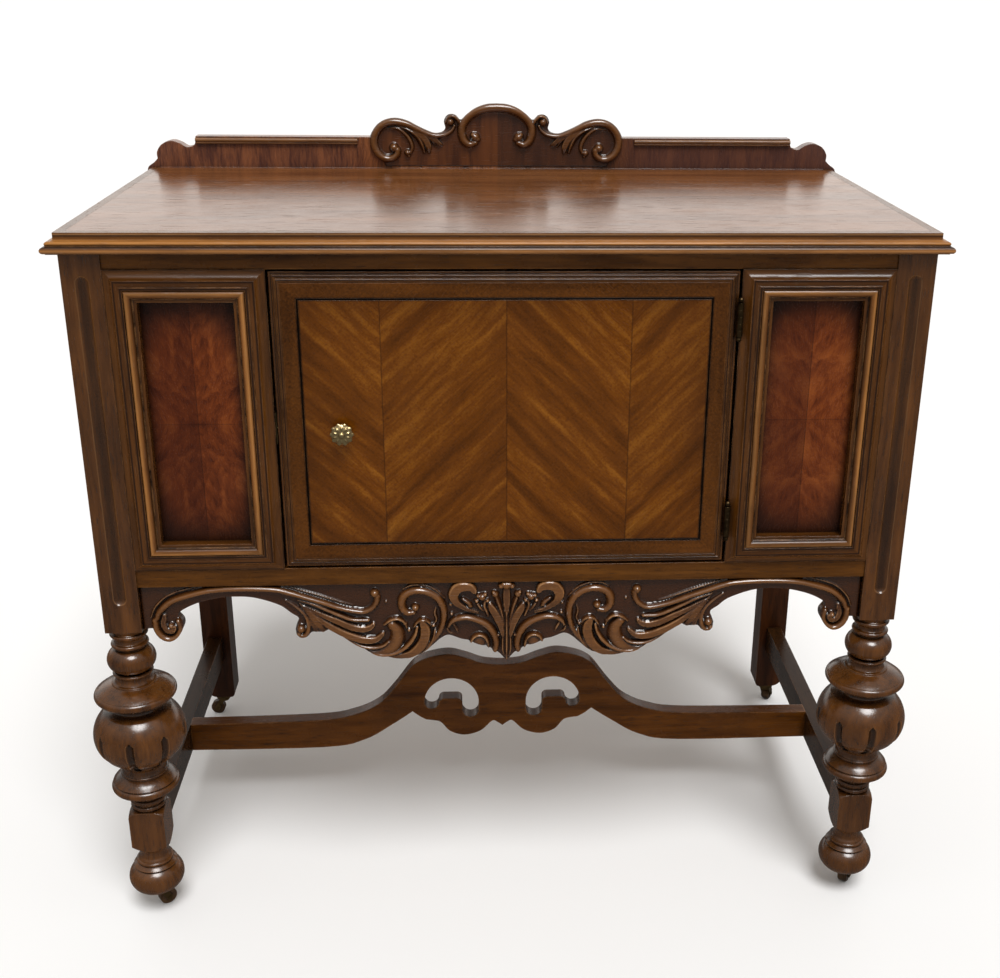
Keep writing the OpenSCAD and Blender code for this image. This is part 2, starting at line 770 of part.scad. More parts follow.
top_panel();
top_edge_front();
top_edge_side(-1);  // top_edge_left
top_edge_side(1);  // top_edge_right
gallery_board();
gallery_beads();
gallery_crest();
front_leg(-1);  // front_leg_left
front_leg(1);  // front_leg_right
rear_leg(-1);  // rear_leg_left
rear_leg(1);  // rear_leg_right
upper_rail();
lower_rail();
apron_board();
apron_carving();
side_rails(-1);  // side_rails_left
side_rails(1);  // side_rails_right
side_panel(-1);  // side_panel_left
side_panel(1);  // side_panel_right
back_rails();
back_panel();
floor_board();
shelf();
shelf_cleats();
front_stiles();
panel_frame(-1);  // panel_frame_left
panel_frame(1);  // panel_frame_right
panel_bead(-1);  // panel_bead_left
panel_bead(1);  // panel_bead_right
veneer_panel(-1);  // veneer_panel_left
veneer_panel(1);  // veneer_panel_right
door_core();
door_moulding();
door_field();
door_line();
hinge_case(0);  // hinge_case_upper
hinge_case(1);  // hinge_case_lower
hinge_door(0);  // hinge_door_upper
hinge_door(1);  // hinge_door_lower
hinge_pin(0);  // hinge_pin_upper
hinge_pin(1);  // hinge_pin_lower
hinge_screws(1);  // hinge_screws_case
hinge_screws(-1);  // hinge_screws_door
knob();
knob_bolt();
catch_barrel();
catch_ball();
strike_plate();
side_stretcher(-1);  // side_stretcher_left
side_stretcher(1);  // side_stretcher_right
centre_stretcher();
caster_sockets();
caster_fork(0);  // caster_fork_front_left
caster_fork(1);  // caster_fork_front_right
caster_fork(2);  // caster_fork_rear_left
caster_fork(3);  // caster_fork_rear_right
caster_wheel(0);  // caster_wheel_front_left
caster_wheel(1);  // caster_wheel_front_right
caster_wheel(2);  // caster_wheel_rear_left
caster_wheel(3);  // caster_wheel_rear_right
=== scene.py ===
"""Console cabinet: a carved walnut case on turned legs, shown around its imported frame.

Laid out as an add-on. Each operator makes one piece or a group of like pieces, and the sizes and colours that
a maker would change are properties.
"""

import math

import bmesh
import bpy
import numpy as np
from bpy.props import FloatProperty, FloatVectorProperty, IntProperty, PointerProperty
from bpy.types import Operator, Panel, PropertyGroup
from mathutils import Matrix, Vector


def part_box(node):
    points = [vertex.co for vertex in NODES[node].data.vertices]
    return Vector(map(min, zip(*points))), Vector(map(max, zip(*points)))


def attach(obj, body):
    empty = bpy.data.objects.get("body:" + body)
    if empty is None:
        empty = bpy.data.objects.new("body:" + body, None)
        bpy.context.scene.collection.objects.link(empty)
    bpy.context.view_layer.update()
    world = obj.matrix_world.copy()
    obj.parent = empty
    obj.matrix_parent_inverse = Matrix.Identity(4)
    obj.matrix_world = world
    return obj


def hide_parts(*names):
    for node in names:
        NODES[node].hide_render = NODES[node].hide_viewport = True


bl_info = {
    "name": "Carved Console Cabinet",
    "version": (1, 0, 0),
    "blender": (4, 5, 0),
    "location": "View3D > Sidebar > Cabinet",
    "description": "Builds the finishes, carving and turning of a console cabinet around its frame",
    "category": "Object",
}

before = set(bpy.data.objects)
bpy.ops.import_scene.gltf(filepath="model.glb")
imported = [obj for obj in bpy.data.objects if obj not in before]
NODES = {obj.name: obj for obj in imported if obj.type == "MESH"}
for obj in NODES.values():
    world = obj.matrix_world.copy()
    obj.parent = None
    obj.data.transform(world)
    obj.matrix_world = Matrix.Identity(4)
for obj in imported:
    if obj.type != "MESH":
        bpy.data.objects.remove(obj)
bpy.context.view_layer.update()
MM = 0.001


def low(node):
    """Lowest corner of a frame node, in metres."""
    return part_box(node)[0]


def high(node):
    """Highest corner of a frame node, in metres."""
    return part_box(node)[1]


def middle(node):
    """Centre of a frame node's box, in metres."""
    return (Vector(low(node)) + Vector(high(node))) / 2


# Places that the pieces are worked out from
RAIL_Z = low("lower_rail").z
APRON_Y = low("apron_board").y
CASE_FRONT = APRON_Y - 8 * MM
POST_SIDE = 47 * MM
POST_X = high("lower_rail").x + POST_SIDE / 2
PANEL_X = middle("veneer_panel_right").x
PANEL_Z = middle("veneer_panel_right").z
PANEL_HALF_W = high("panel_frame_right").x - PANEL_X
PANEL_HALF_H = high("panel_frame_right").z - PANEL_Z
DOOR_Z = middle("door_core").z
DOOR_HALF_W = high("door_core").x
DOOR_HALF_H = high("door_core").z - DOOR_Z
DOOR_LEAF = 0.1515
LINE_IN = DOOR_HALF_W - high("door_line").x
EDGE_LOW = low("top_edge_front").z
EDGE_HEIGHT = high("top_edge_front").z - EDGE_LOW


# ---------------------------------------------------------------- shader maths


class Wire:
    """A shader socket that can be added, multiplied and compared like a number."""

    def __init__(self, recipe, socket):
        self.recipe = recipe
        self.socket = socket

    def math(self, operation, *others):
        return self.recipe.add("ShaderNodeMath", {"operation": operation}, [self, *others])

    def __add__(self, other):
        return self.math("ADD", other)

    def __mul__(self, other):
        return self.math("MULTIPLY", other)

    __radd__ = __add__
    __rmul__ = __mul__

    def __sub__(self, other):
        return self.math("SUBTRACT", other)

    def __rsub__(self, other):
        return self.recipe.add("ShaderNodeMath", {"operation": "SUBTRACT"}, [other, self])

    def __truediv__(self, other):
        return self.math("DIVIDE", other)

    def __pow__(self, other):
        return self.math("POWER", other)

    def __abs__(self):
        return self.math("ABSOLUTE")

    def step(self, start, stop):
        """0 below start, 1 above stop and smooth between them."""
        smooth = {"interpolation_type": "SMOOTHSTEP"}
        span = {"Value": self, "From Min": start, "From Max": stop}
        return self.recipe.add("ShaderNodeMapRange", smooth, span)


class Recipe:
    """A material's node tree while it is being written."""

    def __init__(self, name):
        self.material = bpy.data.materials.new(name)
        self.material.use_nodes = True
        self.tree = self.material.node_tree
        self.shader = self.tree.nodes["Principled BSDF"]

    def add(self, kind, settings=None, inputs=None, out=0):
        """Adds a node: its settings first, then its sockets' values or links. Returns one output."""
        node = self.tree.nodes.new(kind)
        for key, value in (settings or {}).items():
            if key == "stops":
                ramp = node.color_ramp.elements
                while len(ramp) < len(value):
                    ramp.new(0.5)
                for element, (place, *colour) in zip(ramp, value):
                    element.position = place
                    element.color = (*(paint(*colour) if len(colour) == 3 else colour[0]), 1.0)
            else:
                setattr(node, key, value)
        pairs = inputs.items() if isinstance(inputs, dict) else enumerate(inputs or [])
        for key, value in pairs:
            self.feed(node.inputs[key], value)
        return Wire(self, node.outputs[out])

    def feed(self, socket, value):
        if isinstance(value, Wire):
            self.tree.links.new(value.socket, socket)
        else:
            socket.default_value = value

    def set(self, **inputs):
        """Sets or links the shader's own sockets; an underscore stands for a space."""
        for key, value in inputs.items():
            self.feed(self.shader.inputs[key.replace("_", " ")], value)

    def place(self, scale=(1, 1, 1)):
        """Object coordinates, stretched."""
        coords = self.add("ShaderNodeTexCoord", out=3)
        return self.add("ShaderNodeMapping", None, {"Vector": coords, "Scale": scale})

    def axes(self, space=3):
        """Coordinates as three separate wires: object coordinates, or another output of the same node."""
        coords = self.add("ShaderNodeTexCoord", out=space)
        node = self.add("ShaderNodeSeparateXYZ", None, [coords]).socket.node
        return [Wire(self, node.outputs[i]) for i in range(3)]

    def join(self, x, y, z):
        return self.add("ShaderNodeCombineXYZ", None, [x, y, z])

    def noise(self, vector, scale=1.0, detail=4.0, rough=0.55, warp=0.0):
        sizes = {"Vector": vector, "Scale": scale, "Detail": detail, "Roughness": rough, "Distortion": warp}
        return self.add("ShaderNodeTexNoise", None, sizes)

    def ramp(self, value, *stops):
        """Colours by a value; a stop is its place and a colour, or its place and three screen values."""
        return self.add("ShaderNodeValToRGB", {"stops": stops}, [value])

    def mix(self, factor, a, b):
        """Mixes two colours."""
        node = self.tree.nodes.new("ShaderNodeMix")
        node.data_type = "RGBA"
        self.feed(node.inputs[0], factor)
        for socket, value in ((node.inputs[6], a), (node.inputs[7], b)):
            self.feed(socket, value if isinstance(value, Wire) else (*value, 1.0))
        return Wire(self, node.outputs[2])

    def tint(self, colour, amount, *screen):
        """Mixes an amount of a colour, given in screen values, into another."""
        return self.mix(amount, colour, paint(*screen))

    def bump(self, height, strength, distance, normal):
        sizes = {"Height": height, "Strength": strength, "Distance": distance, "Normal": normal}
        return self.add("ShaderNodeBump", None, sizes)


def paint(r, g, b):
    """A colour given in screen values from 0 to 255, as linear light."""
    return tuple(v / 3294.6 if v <= 10.3 else ((v / 255.0 + 0.055) / 1.055) ** 2.4 for v in (r, g, b))


# ---------------------------------------------------------------- finishes

ALONG = {"x": (0.09, 1.0, 1.0), "y": (1.0, 0.09, 1.0), "z": (1.0, 1.0, 0.09)}


def fibres(r, at, coarse=60.0, warp=0.4):
    """Figure, fine fibre and open pores of wood, from coordinates already stretched along the grain."""
    figure = r.noise(at, coarse, 5.0, 0.6, warp)
    fine = r.noise(at, coarse * 5, 3.0, 0.65)
    pores = r.noise(at, coarse * 9, 2.0, 0.5).step(0.58, 0.7)
    return figure, fine, pores


def lacquer(r, body, figure, pores, gloss=0.28, wear_and_highlight=0.5, radius=0.0016, corner_shade=0.6, shine=0.25, reach=0.014):
    """Puts an old, slightly dusty lacquer over a wood colour, with painted shade in its corners and arrises
    lightened partly as worn and partly as painted highlight.
    """
    place = r.place()
    # Painted shade: near-black mixed in where ambient occlusion finds corners and recesses.
    corner = r.add("ShaderNodeAmbientOcclusion", {"samples": 8}, {"Distance": reach}, out=1)
    body = r.tint(body, (1.0 - corner).step(0.12, 0.75) * corner_shade, 16, 7, 3)
    rounded = r.add("ShaderNodeBevel", {"samples": 4}, {"Radius": radius})
    true = r.add("ShaderNodeNewGeometry", out=1)
    cosine = r.add("ShaderNodeVectorMath", {"operation": "DOT_PRODUCT"}, [rounded, true], out=1)
    smudge = r.noise(place, 34.0, 4.0, 0.65)
    # Rounded arrises lightened in patches: partly worn lacquer, partly a painted highlight along the edges.
    worn_and_lit = (1.0 - cosine).step(0.015, 0.2) * smudge.step(0.38, 0.62) * wear_and_highlight
    body = r.tint(body, worn_and_lit, 168, 116, 66)
    haze = r.noise(place, 9.0, 5.0, 0.6)
    r.set(
        Base_Color=body,
        Roughness=haze * 0.16 + smudge * 0.1 + (gloss - 0.12) + pores * 0.12,
        Specular_IOR_Level=shine,
        Normal=r.bump(figure * 0.5 - pores * 0.5 + smudge * 0.35, 0.16, 0.0006, rounded),
    )
    return r.material


def walnut(name, axis, dark, light, gloss=0.28, wear_and_highlight=0.5, coarse=60.0, corner_shade=0.6, blotch=0.35, shine=0.22,
           reach=0.014, radius=0.0016, grooved=False):
    """Plain lacquered walnut with its fibres along one axis."""
    r = Recipe(name)
    figure, fine, pores = fibres(r, r.place(scale=ALONG[axis]), coarse)
    body = r.ramp(figure * 0.72 + fine * 0.28, (0.32, dark), (0.68, light))
    cloud = r.noise(r.place(), 6.0, 3.0, 0.5).step(0.35, 0.75)
    body = r.mix(cloud * blotch, body, [c * 0.5 for c in dark])
    body = r.mix(pores * 0.5, body, [c * 0.3 for c in dark])
    if grooved:
        # Painted shade: the flutes and gouges are darkened by how deep each point lies in them; their lips
        # are lightened as worn edges.
        groove = r.add("ShaderNodeAttribute", {"attribute_name": "groove"}, out=2)
        body = r.tint(body, groove.step(0.1, 0.7) * 0.75, 26, 12, 3)
        lip = groove.step(0.02, 0.08) * (1.0 - groove.step(0.1, 0.2))
        body = r.tint(body, lip * 0.35, 150, 108, 66)
    return lacquer(r, body, figure, pores, gloss, wear_and_highlight, corner_shade=corner_shade, shine=shine, reach=reach, radius=radius)


def mitred(r, centre_x, centre_z, half_w, half_h):
    """Coordinates that run along each side of a mitred frame, and the distance in from the frame's edge."""
    x, y, z = r.axes()
    inset_x = half_w - abs((abs(x) if centre_x else x) - centre_x)
    inset_z = half_h - abs(z - centre_z)
    upright = (inset_z - inset_x).math("GREATER_THAN", 0.0)
    length = r.join(x, y, z * 0.09)
    width = r.join(x * 0.09 + 3.0, y, z)
    at = r.add("ShaderNodeMix", {"data_type": "VECTOR"}, {0: upright, 4: width, 5: length}, out=1)
    return at, inset_x.math("MINIMUM", inset_z)


def frame_walnut(name, centre_x, centre_z, half_w, half_h, bands, wide, shine=0.5):
    """Mitred mouldings coloured by the distance in from the outer edge: painted shade in the quirks and
    coves, painted highlights on the beads.
    """
    r = Recipe(name)
    at, inset = mitred(r, centre_x, centre_z, half_w, half_h)
    figure, fine, pores = fibres(r, at)
    # The bands paint shade into the quirks and coves and highlights onto the beads.
    tone = r.ramp(inset * (1 / wide), *bands)
    body = r.tint(tone, figure.step(0.36, 0.66) * 0.55, 34, 15, 3)
    body = r.tint(body, fine.step(0.45, 0.7) * 0.25, 40, 18, 4)
    return lacquer(r, body, figure, pores, 0.2, 0.7, corner_shade=0.9, shine=shine, reach=0.008, radius=0.0012)


def edge_walnut(name, axis):
    """The top's moulded edge, coloured by height: bright bands are painted highlights on its beads and lip,
    dark bands painted shade in its quirks and under it.
    """
    r = Recipe(name)
    x, y, z = r.axes()
    figure, fine, pores = fibres(r, r.place(scale=ALONG[axis]))
    level = (z - EDGE_LOW) * (1 / EDGE_HEIGHT)
    # Painted light by height: the light stops are painted highlights, the dark stops painted shade in the
    # groove, the upper cove and the underside.
    tone = r.ramp(
        level, (0.0, 60, 32, 10), (0.2, 160, 108, 58), (0.3, 92, 54, 18), (0.37, 30, 14, 4),
        (0.45, 120, 74, 28), (0.56, 176, 118, 56), (0.7, 128, 80, 32), (0.86, 48, 26, 10),
        (0.92, 150, 108, 66), (0.975, 104, 66, 36),
    )
    body = r.tint(tone, figure.step(0.4, 0.66) * 0.4, 60, 32, 10)
    body = r.tint(body, fine.step(0.45, 0.7) * 0.2, 50, 26, 8)
    return lacquer(r, body, figure, pores, 0.22, 0.6, corner_shade=0.7, shine=0.45, reach=0.006, radius=0.0008)


def chevron(name):
    """The door's veneer: four leaves whose slanting stripes meet in chevrons, in a plain mitred band."""
    r = Recipe(name)
    x, y, z = r.axes()
    leaf = DOOR_LEAF
    fold = leaf - abs(abs(x) - leaf)
    wander = r.noise(r.place(), 5.0, 3.0, 0.5) * 0.03
    across = (z + fold + wander) * 0.7071
    along_fibre = (fold - z) * 0.7071
    number = x.math("SIGN") * (abs(x) - leaf).math("SIGN")
    at = r.join(across, along_fibre * 0.05, number * 0.35)
    stripe = r.noise(at, 44.0, 3.0, 0.55, 0.1)
    figure = r.noise(r.join(across, along_fibre * 0.16, number), 130.0, 4.0, 0.62, 0.3)
    mottle = r.noise(r.join(across * 0.7, along_fibre, number), 420.0, 3.0, 0.65, 0.6)
    pores = r.noise(r.join(across, along_fibre * 0.12, number), 700.0, 2.0, 0.5).step(0.57, 0.7)
    tone = stripe * 0.46 + figure * 0.24 + mottle * 0.3
    body = r.ramp(tone, (0.38, 76, 38, 1), (0.5, 103, 54, 2), (0.62, 142, 86, 16))
    body = r.tint(body, mottle.step(0.5, 0.7) * 0.4, 60, 30, 1)
    body = r.tint(body, (number + 1.0) * 0.04, 50, 24, 2)
    joint = 1.0 - abs(abs(x) - leaf).step(0.0002, 0.0012) + (1.0 - abs(x).step(0.0002, 0.0012))
    body = r.tint(body, joint * 0.5, 36, 16, 4)
    band_at, inset = mitred(r, 0.0, DOOR_Z, DOOR_HALF_W, DOOR_HALF_H)
    band_figure = fibres(r, band_at, 40.0)[0]
    band = r.ramp(band_figure * 0.5 + mottle * 0.5, (0.36, 56, 28, 1), (0.64, 110, 62, 12))
    body = r.mix(inset.step(LINE_IN - 0.0004, LINE_IN + 0.0004), band, body)
    # A dark band beside the inlaid line: it widens the line and paints the shadow next to it.
    halo = 1.0 - abs(inset - (LINE_IN + 0.0012)).step(0.0010, 0.0034)
    body = r.tint(body, halo * 0.85, 14, 6, 3)
    cloud = r.noise(r.place(), 11.0, 4.0, 0.55)
    body = r.tint(body, (1.0 - inset.step(0.012, 0.09)) * cloud * 0.7, 40, 18, 3)
    return lacquer(r, body, figure, pores, 0.26, 0.4, corner_shade=0.8, shine=0.22)


def crotch(name):
    """The side panels' crotch veneer: one feathered figure mirrored both ways, dark round its outside."""
    r = Recipe(name)
    x, y, z = r.axes()
    offset = x.math("SIGN") * (abs(x) - PANEL_X)
    aside = abs(offset)
    above = abs(z - PANEL_Z)
    wild = r.noise(r.join(aside, above * 0.6, x.math("SIGN") * 0.2), 16.0, 4.0, 0.6, 1.2)
    at = r.join(aside + wild * 0.04, (above - aside * 0.8) * 0.3 + wild * 0.02, x.math("SIGN"))
    feather = r.join(above - aside * 0.9 + wild * 0.05, aside * 0.2, wild * 0.03)
    figure = r.noise(feather, 70.0, 4.0, 0.55, 0.5)
    fine = r.noise(at, 330.0, 3.0, 0.6)
    tone = figure * 0.2 + fine * 0.25 + wild * 0.55
    body = r.ramp(tone, (0.38, 70, 26, 5), (0.5, 104, 46, 11), (0.62, 134, 68, 22))
    right = offset.step(0.0002, 0.0012)
    body = r.tint(body, (1.0 - right) * 0.42, 52, 17, 8)
    lower = 1.0 - (z - PANEL_Z).step(-0.0006, 0.0006)
    body = r.tint(body, lower * 0.12, 40, 16, 8)
    cloud = r.noise(r.place(), 9.0, 4.0, 0.6)
    far = (aside * 15.0) ** 3 + (above * 6.6) ** 4
    body = r.tint(body, (far + cloud * 0.5 - 0.4).step(0.0, 0.9) * 0.75, 30, 12, 6)
    pores = r.noise(at, 640.0, 2.0, 0.5).step(0.58, 0.7)
    seam = 1.0 - aside.step(0.0, 0.0010) + (1.0 - above.step(0.0, 0.0009))
    body = r.tint(body, seam * 0.4, 32, 13, 5)
    return lacquer(r, body, figure, pores, 0.24, 0.3, corner_shade=0.9, shine=0.3, reach=0.03)


def book_matched(name):
    """The gallery's veneer: two leaves opened like a book at the middle, the right one darker."""
    r = Recipe(name)
    x, y, z = r.axes()
    mirrored = r.join(abs(x) * 0.6 + z * 0.25, y, z)
    wild = r.noise(mirrored, 6.0, 3.0, 0.6, 0.6)
    at = r.join(abs(x) + wild * 0.03, y, z * 0.12)
    figure = r.noise(at, 70.0, 5.0, 0.6, 0.3)
    fine = r.noise(at, 380.0, 3.0, 0.6)
    pores = r.noise(at, 640.0, 2.0, 0.5).step(0.58, 0.7)
    body = r.ramp(figure * 0.6 + fine * 0.4, (0.4, 64, 28, 8), (0.6, 156, 94, 50))
    right = x.step(0.0005, 0.002)
    body = r.tint(body, right * 0.62, 50, 28, 22)
    outer = abs(x).step(0.16, 0.24)
    body = r.tint(body, outer * 0.4, 98, 64, 60)
    return lacquer(r, body, figure, pores, 0.24, 0.5, corner_shade=0.5, shine=0.6)


def carved_walnut(name, veneer_ground=False):
    """Carved walnut: painted shade makes the hollows nearly black, the slopes are red-brown, and the crests
    are lightened partly as worn and partly as painted highlight.
    """
    r = Recipe(name)
    relief = r.add("ShaderNodeAttribute", {"attribute_name": "relief"}, out=2)
    crest = r.add("ShaderNodeAttribute", {"attribute_name": "crest"}, out=2)
    place = r.place(scale=ALONG["x"])
    figure, fine, pores = fibres(r, place)
    smudge = r.noise(r.place(), 60.0, 4.0, 0.65)
    # Lighter towards the top of the relief: a painted highlight on the raised carving.
    body = r.ramp(relief + (smudge - 0.5) * 0.25, (0.0, 62, 30, 5), (0.45, 66, 34, 8), (0.95, 112, 69, 28))
    # Painted shade: cavities, where the surface lies below its smoothed height, are darkened.
    body = r.tint(body, (0.0 - crest).step(0.0, 1.6) * 0.8, 22, 11, 6)
    body = r.tint(body, fine.step(0.4, 0.7) * 0.25, 40, 20, 9)
    # Crests lightened in patches: partly worn, partly a painted highlight.
    worn_and_lit = crest.step(0.35, 2.0) * smudge.step(0.3, 0.6)
    body = r.tint(body, worn_and_lit * 0.65, 176, 128, 82)
    if veneer_ground:
        x, y, z = r.axes()
        at = r.join(abs(x), y, z * 0.12)
        leaf = r.noise(at, 70.0, 5.0, 0.6, 0.3)
        ground = r.ramp(leaf, (0.34, 62, 28, 10), (0.66, 106, 58, 24))
        ground = r.tint(ground, x.step(0.0005, 0.002) * 0.6, 46, 24, 18)
        body = r.mix(relief.step(0.02, 0.1), ground, body)
    return lacquer(r, body, figure, pores, 0.2, 0.0, corner_shade=0.75, radius=0.0005, shine=1.0, reach=0.01)


def metal(name, colour, stain, rough=0.34, patches=0.5):
    """Old metal with darker tarnish in patches and in its corners."""
    r = Recipe(name)
    cloud = r.noise(r.place(), 90.0, 5.0, 0.65)
    corner = r.add("ShaderNodeAmbientOcclusion", {"samples": 6}, {"Distance": 0.004}, out=1)
    tarnish = (cloud.step(0.42, 0.7) * patches + (1.0 - corner) * 0.7)
    rounded = r.add("ShaderNodeBevel", {"samples": 4}, {"Radius": 0.0006})
    r.set(
        Base_Color=r.mix(tarnish, colour, stain),
        Metallic=1.0,
        Roughness=cloud * 0.3 + (rough - 0.1),
        Normal=r.bump(cloud, 0.12, 0.0003, rounded),
    )
    return r.material


def finish_boards(material, *nodes):
    """Gives frame nodes one finish."""
    for node in nodes:
        slots = NODES[node].data.materials
        slots.clear()
        slots.append(material)


# ---------------------------------------------------------------- carving


def along(points, step=1.2):
    """Evenly spaced points on a smooth curve through given ones; each holds x, z and any other values."""
    p = np.array(points, float)
    if len(p) < 3:
        return p
    p = np.vstack([2 * p[0] - p[1], p, 2 * p[-1] - p[-2]])
    out = []
    for a, b, c, d in zip(p, p[1:], p[2:], p[3:]):
        for t in np.linspace(0, 1, max(2, int(np.hypot(*(c - b)[:2]) / step)), endpoint=False):
            square, cube = 2 * a - 5 * b + 4 * c - d, 3 * b - a - 3 * c + d
            out.append(0.5 * (2 * b + (c - a) * t + square * t**2 + cube * t**3))
    return np.array([*out, p[-2]])


def nearest(places, outline):
    """Nearest point of a closed outline to each place, and the distance, positive inside."""
    best = np.full(len(places), 1e9)
    point = np.zeros_like(places)
    inside = np.zeros(len(places), bool)
    x, z = places.T
    for a, b in zip(outline, np.roll(outline, -1, axis=0)):
        edge = b - a
        t = np.clip(((places - a) @ edge) / max(edge @ edge, 1e-12), 0, 1)
        foot = a + t[:, None] * edge
        gap = np.hypot(*(places - foot).T)
        closer = gap < best
        best[closer] = gap[closer]
        point[closer] = foot[closer]
        if a[1] != b[1]:
            inside ^= ((a[1] > z) != (b[1] > z)) & (x < (b[0] - a[0]) * (z - a[1]) / (b[1] - a[1]) + a[0])
    return point, np.where(inside, best, -best)


def dished(u):
    """The section of a leaf: hollow along the middle, with a round rim."""
    hollow, rim = 0.66, 0.34
    inside, outside = (u / hollow) ** 2, ((u - hollow) / rim) ** 2
    return np.where(u < hollow, 0.5 + 0.5 * inside, np.sqrt(np.clip(1 - outside, 0, 1)))


# A stroke's section: u runs from 0 on its middle line to 1 at its edge
SECTIONS = {"round": lambda u: (1 - u**2) ** 0.7, "ridge": lambda u: (1 - u) ** 0.8, "hollow": dished}


def carve(places, strokes):
    """Height of a carved surface at each place. A stroke is a section and points of x, z, width, height."""
    height = np.zeros(len(places))
    for section, points in strokes:
        line = along(points) if len(points) > 1 else np.array([*points, *points], float)
        reach = line[:, 2].max() / 2
        near = np.all((places > line[:, :2].min(0) - reach) & (places < line[:, :2].max(0) + reach), axis=1)
        spot = places[near]
        value = height[near]
        for a, b in zip(line, line[1:]):
            edge = b[:2] - a[:2]
            t = np.clip(((spot - a[:2]) @ edge) / max(edge @ edge, 1e-9), 0, 1)
            gap = np.hypot(*(spot - a[:2] - t[:, None] * edge).T)
            width = a[2] + (b[2] - a[2]) * t
            rise = a[3] + (b[3] - a[3]) * t
            u = np.clip(2 * gap / width, 0, 1)
            value = np.maximum(value, np.where(u < 1, rise * SECTIONS[section](u), 0))
        height[near] = value
    return height


def carved_board(name, half_outline, strokes, face, back, step):
    """A mirrored board with carving on its front; sizes in millimetres, the face and back in metres."""
    half = np.array(half_outline, float)
    outline = np.vstack([half, [(-x, z) for x, z in half[::-1] if x > 0]])
    reach = int(math.ceil(half[:, 0].max() / step)) + 1
    xs = np.arange(-reach, reach + 1) * step
    zs = np.arange(half[:, 1].min() - step, half[:, 1].max() + 2 * step, step)
    nx, nz = len(xs), len(zs)
    grid = np.stack(np.meshgrid(xs, zs, indexing="ij"), -1)
    centres = (grid[:-1, :-1] + grid[1:, 1:]) / 2
    kept = nearest(centres.reshape(-1, 2), outline)[1].reshape(nx - 1, nz - 1) > 0
    touching = np.zeros((nx, nz), int)
    for i, k in ((0, 0), (1, 0), (0, 1), (1, 1)):
        touching[i : i + nx - 1, k : k + nz - 1] += kept
    rim = (touching > 0) & (touching < 4)
    grid[rim] = nearest(grid[rim], outline)[0]
    used = touching > 0
    places = grid[used]
    depth = nearest(places, outline)[1]
    depth[rim[used]] = 0
    height = carve(np.stack([abs(places[:, 0]), places[:, 1]], -1), strokes)
    soft = np.zeros((nx, nz))
    soft[used] = height
    raised = soft.copy()
    for _ in range(int(4 / step)):
        inner = soft[1:-1, 1:-1]
        inner[:] = (soft[:-2, 1:-1] + soft[2:, 1:-1] + soft[1:-1, :-2] + soft[1:-1, 2:] + inner) / 5
    crest = (raised - soft)[used]
    height = height - 1.2 * np.clip(1 - depth / 1.4, 0, 1) ** 2
    number = np.full((nx, nz), -1)
    number[used] = np.arange(len(places))
    verts = [(x * MM, face - h * MM, z * MM) for (x, z), h in zip(places, height)]
    faces = []
    edges = {}
    for i, k in np.argwhere(kept):
        ring = [number[i, k], number[i + 1, k], number[i + 1, k + 1], number[i, k + 1]]
        faces.append([int(v) for v in ring])
        for a, b in zip(ring, ring[1:] + ring[:1]):
            if (b, a) in edges:
                del edges[(b, a)]
            else:
                edges[(a, b)] = True
    follow = dict(edges.keys())
    loop = [next(iter(follow))]
    while follow[loop[-1]] != loop[0]:
        loop.append(follow[loop[-1]])
    first = len(verts)
    rear = {v: first + n for n, v in enumerate(loop)}
    verts += [(verts[v][0], back, verts[v][2]) for v in loop]
    faces += [[int(b), int(a), rear[a], rear[b]] for a, b in zip(loop, loop[1:] + loop[:1])]
    faces.append([rear[v] for v in loop][::-1])
    mesh = bpy.data.meshes.new(name)
    mesh.from_pydata(verts, [], faces)
    for label, values in (("relief", height / 9.0), ("crest", crest)):
        layer = mesh.attributes.new(label, "FLOAT", "POINT")
        layer.data.foreach_set("value", np.concatenate([values, np.zeros(len(loop))]).astype(np.float32))
    for polygon in mesh.polygons:
        polygon.use_smooth = abs(polygon.normal.y) > 0.02 and len(polygon.vertices) == 4
    return add_piece(name, mesh)


def add_piece(name, mesh):
    mesh.validate()
    piece = bpy.data.objects.new(name, mesh)
    bpy.context.scene.collection.objects.link(piece)
    return piece


def strokes(*cuts):
    """Full strokes from short notes. A boss is its x, z, width and height. A stroke is its section,
    its points, and a few widths and heights that run evenly along it."""
    full = []
    for cut in cuts:
        if len(cut) == 4 and not isinstance(cut[0], str):
            full.append(("round", [cut]))
            continue
        section, points, *sizes = cut
        at = np.linspace(0, 1, len(points))
        wide, tall = (np.interp(at, np.linspace(0, 1, len(size)), size) for size in sizes)
        full.append((section, [(x, z, w, h) for (x, z), w, h in zip(points, wide, tall)]))
    return full


APRON_EDGE = [
    (471, 449), (458, 450), (452, 440), (440, 433), (428, 439), (420, 451), (420, 461), (425, 471),
    (406, 483), (380, 491), (354, 494), (326, 492), (295, 481), (280, 469), (271, 462), (273, 453),
    (276, 446), (273, 437), (266, 434), (259, 436), (255, 441), (240, 441), (230, 445), (220, 440),
    (200, 425), (180, 412), (160, 405), (140, 402), (120, 403), (108, 409), (96, 420), (86, 429),
    (76, 433), (60, 427), (46, 424), (34, 420), (20, 412), (10, 405), (4, 398), (0, 395),
]

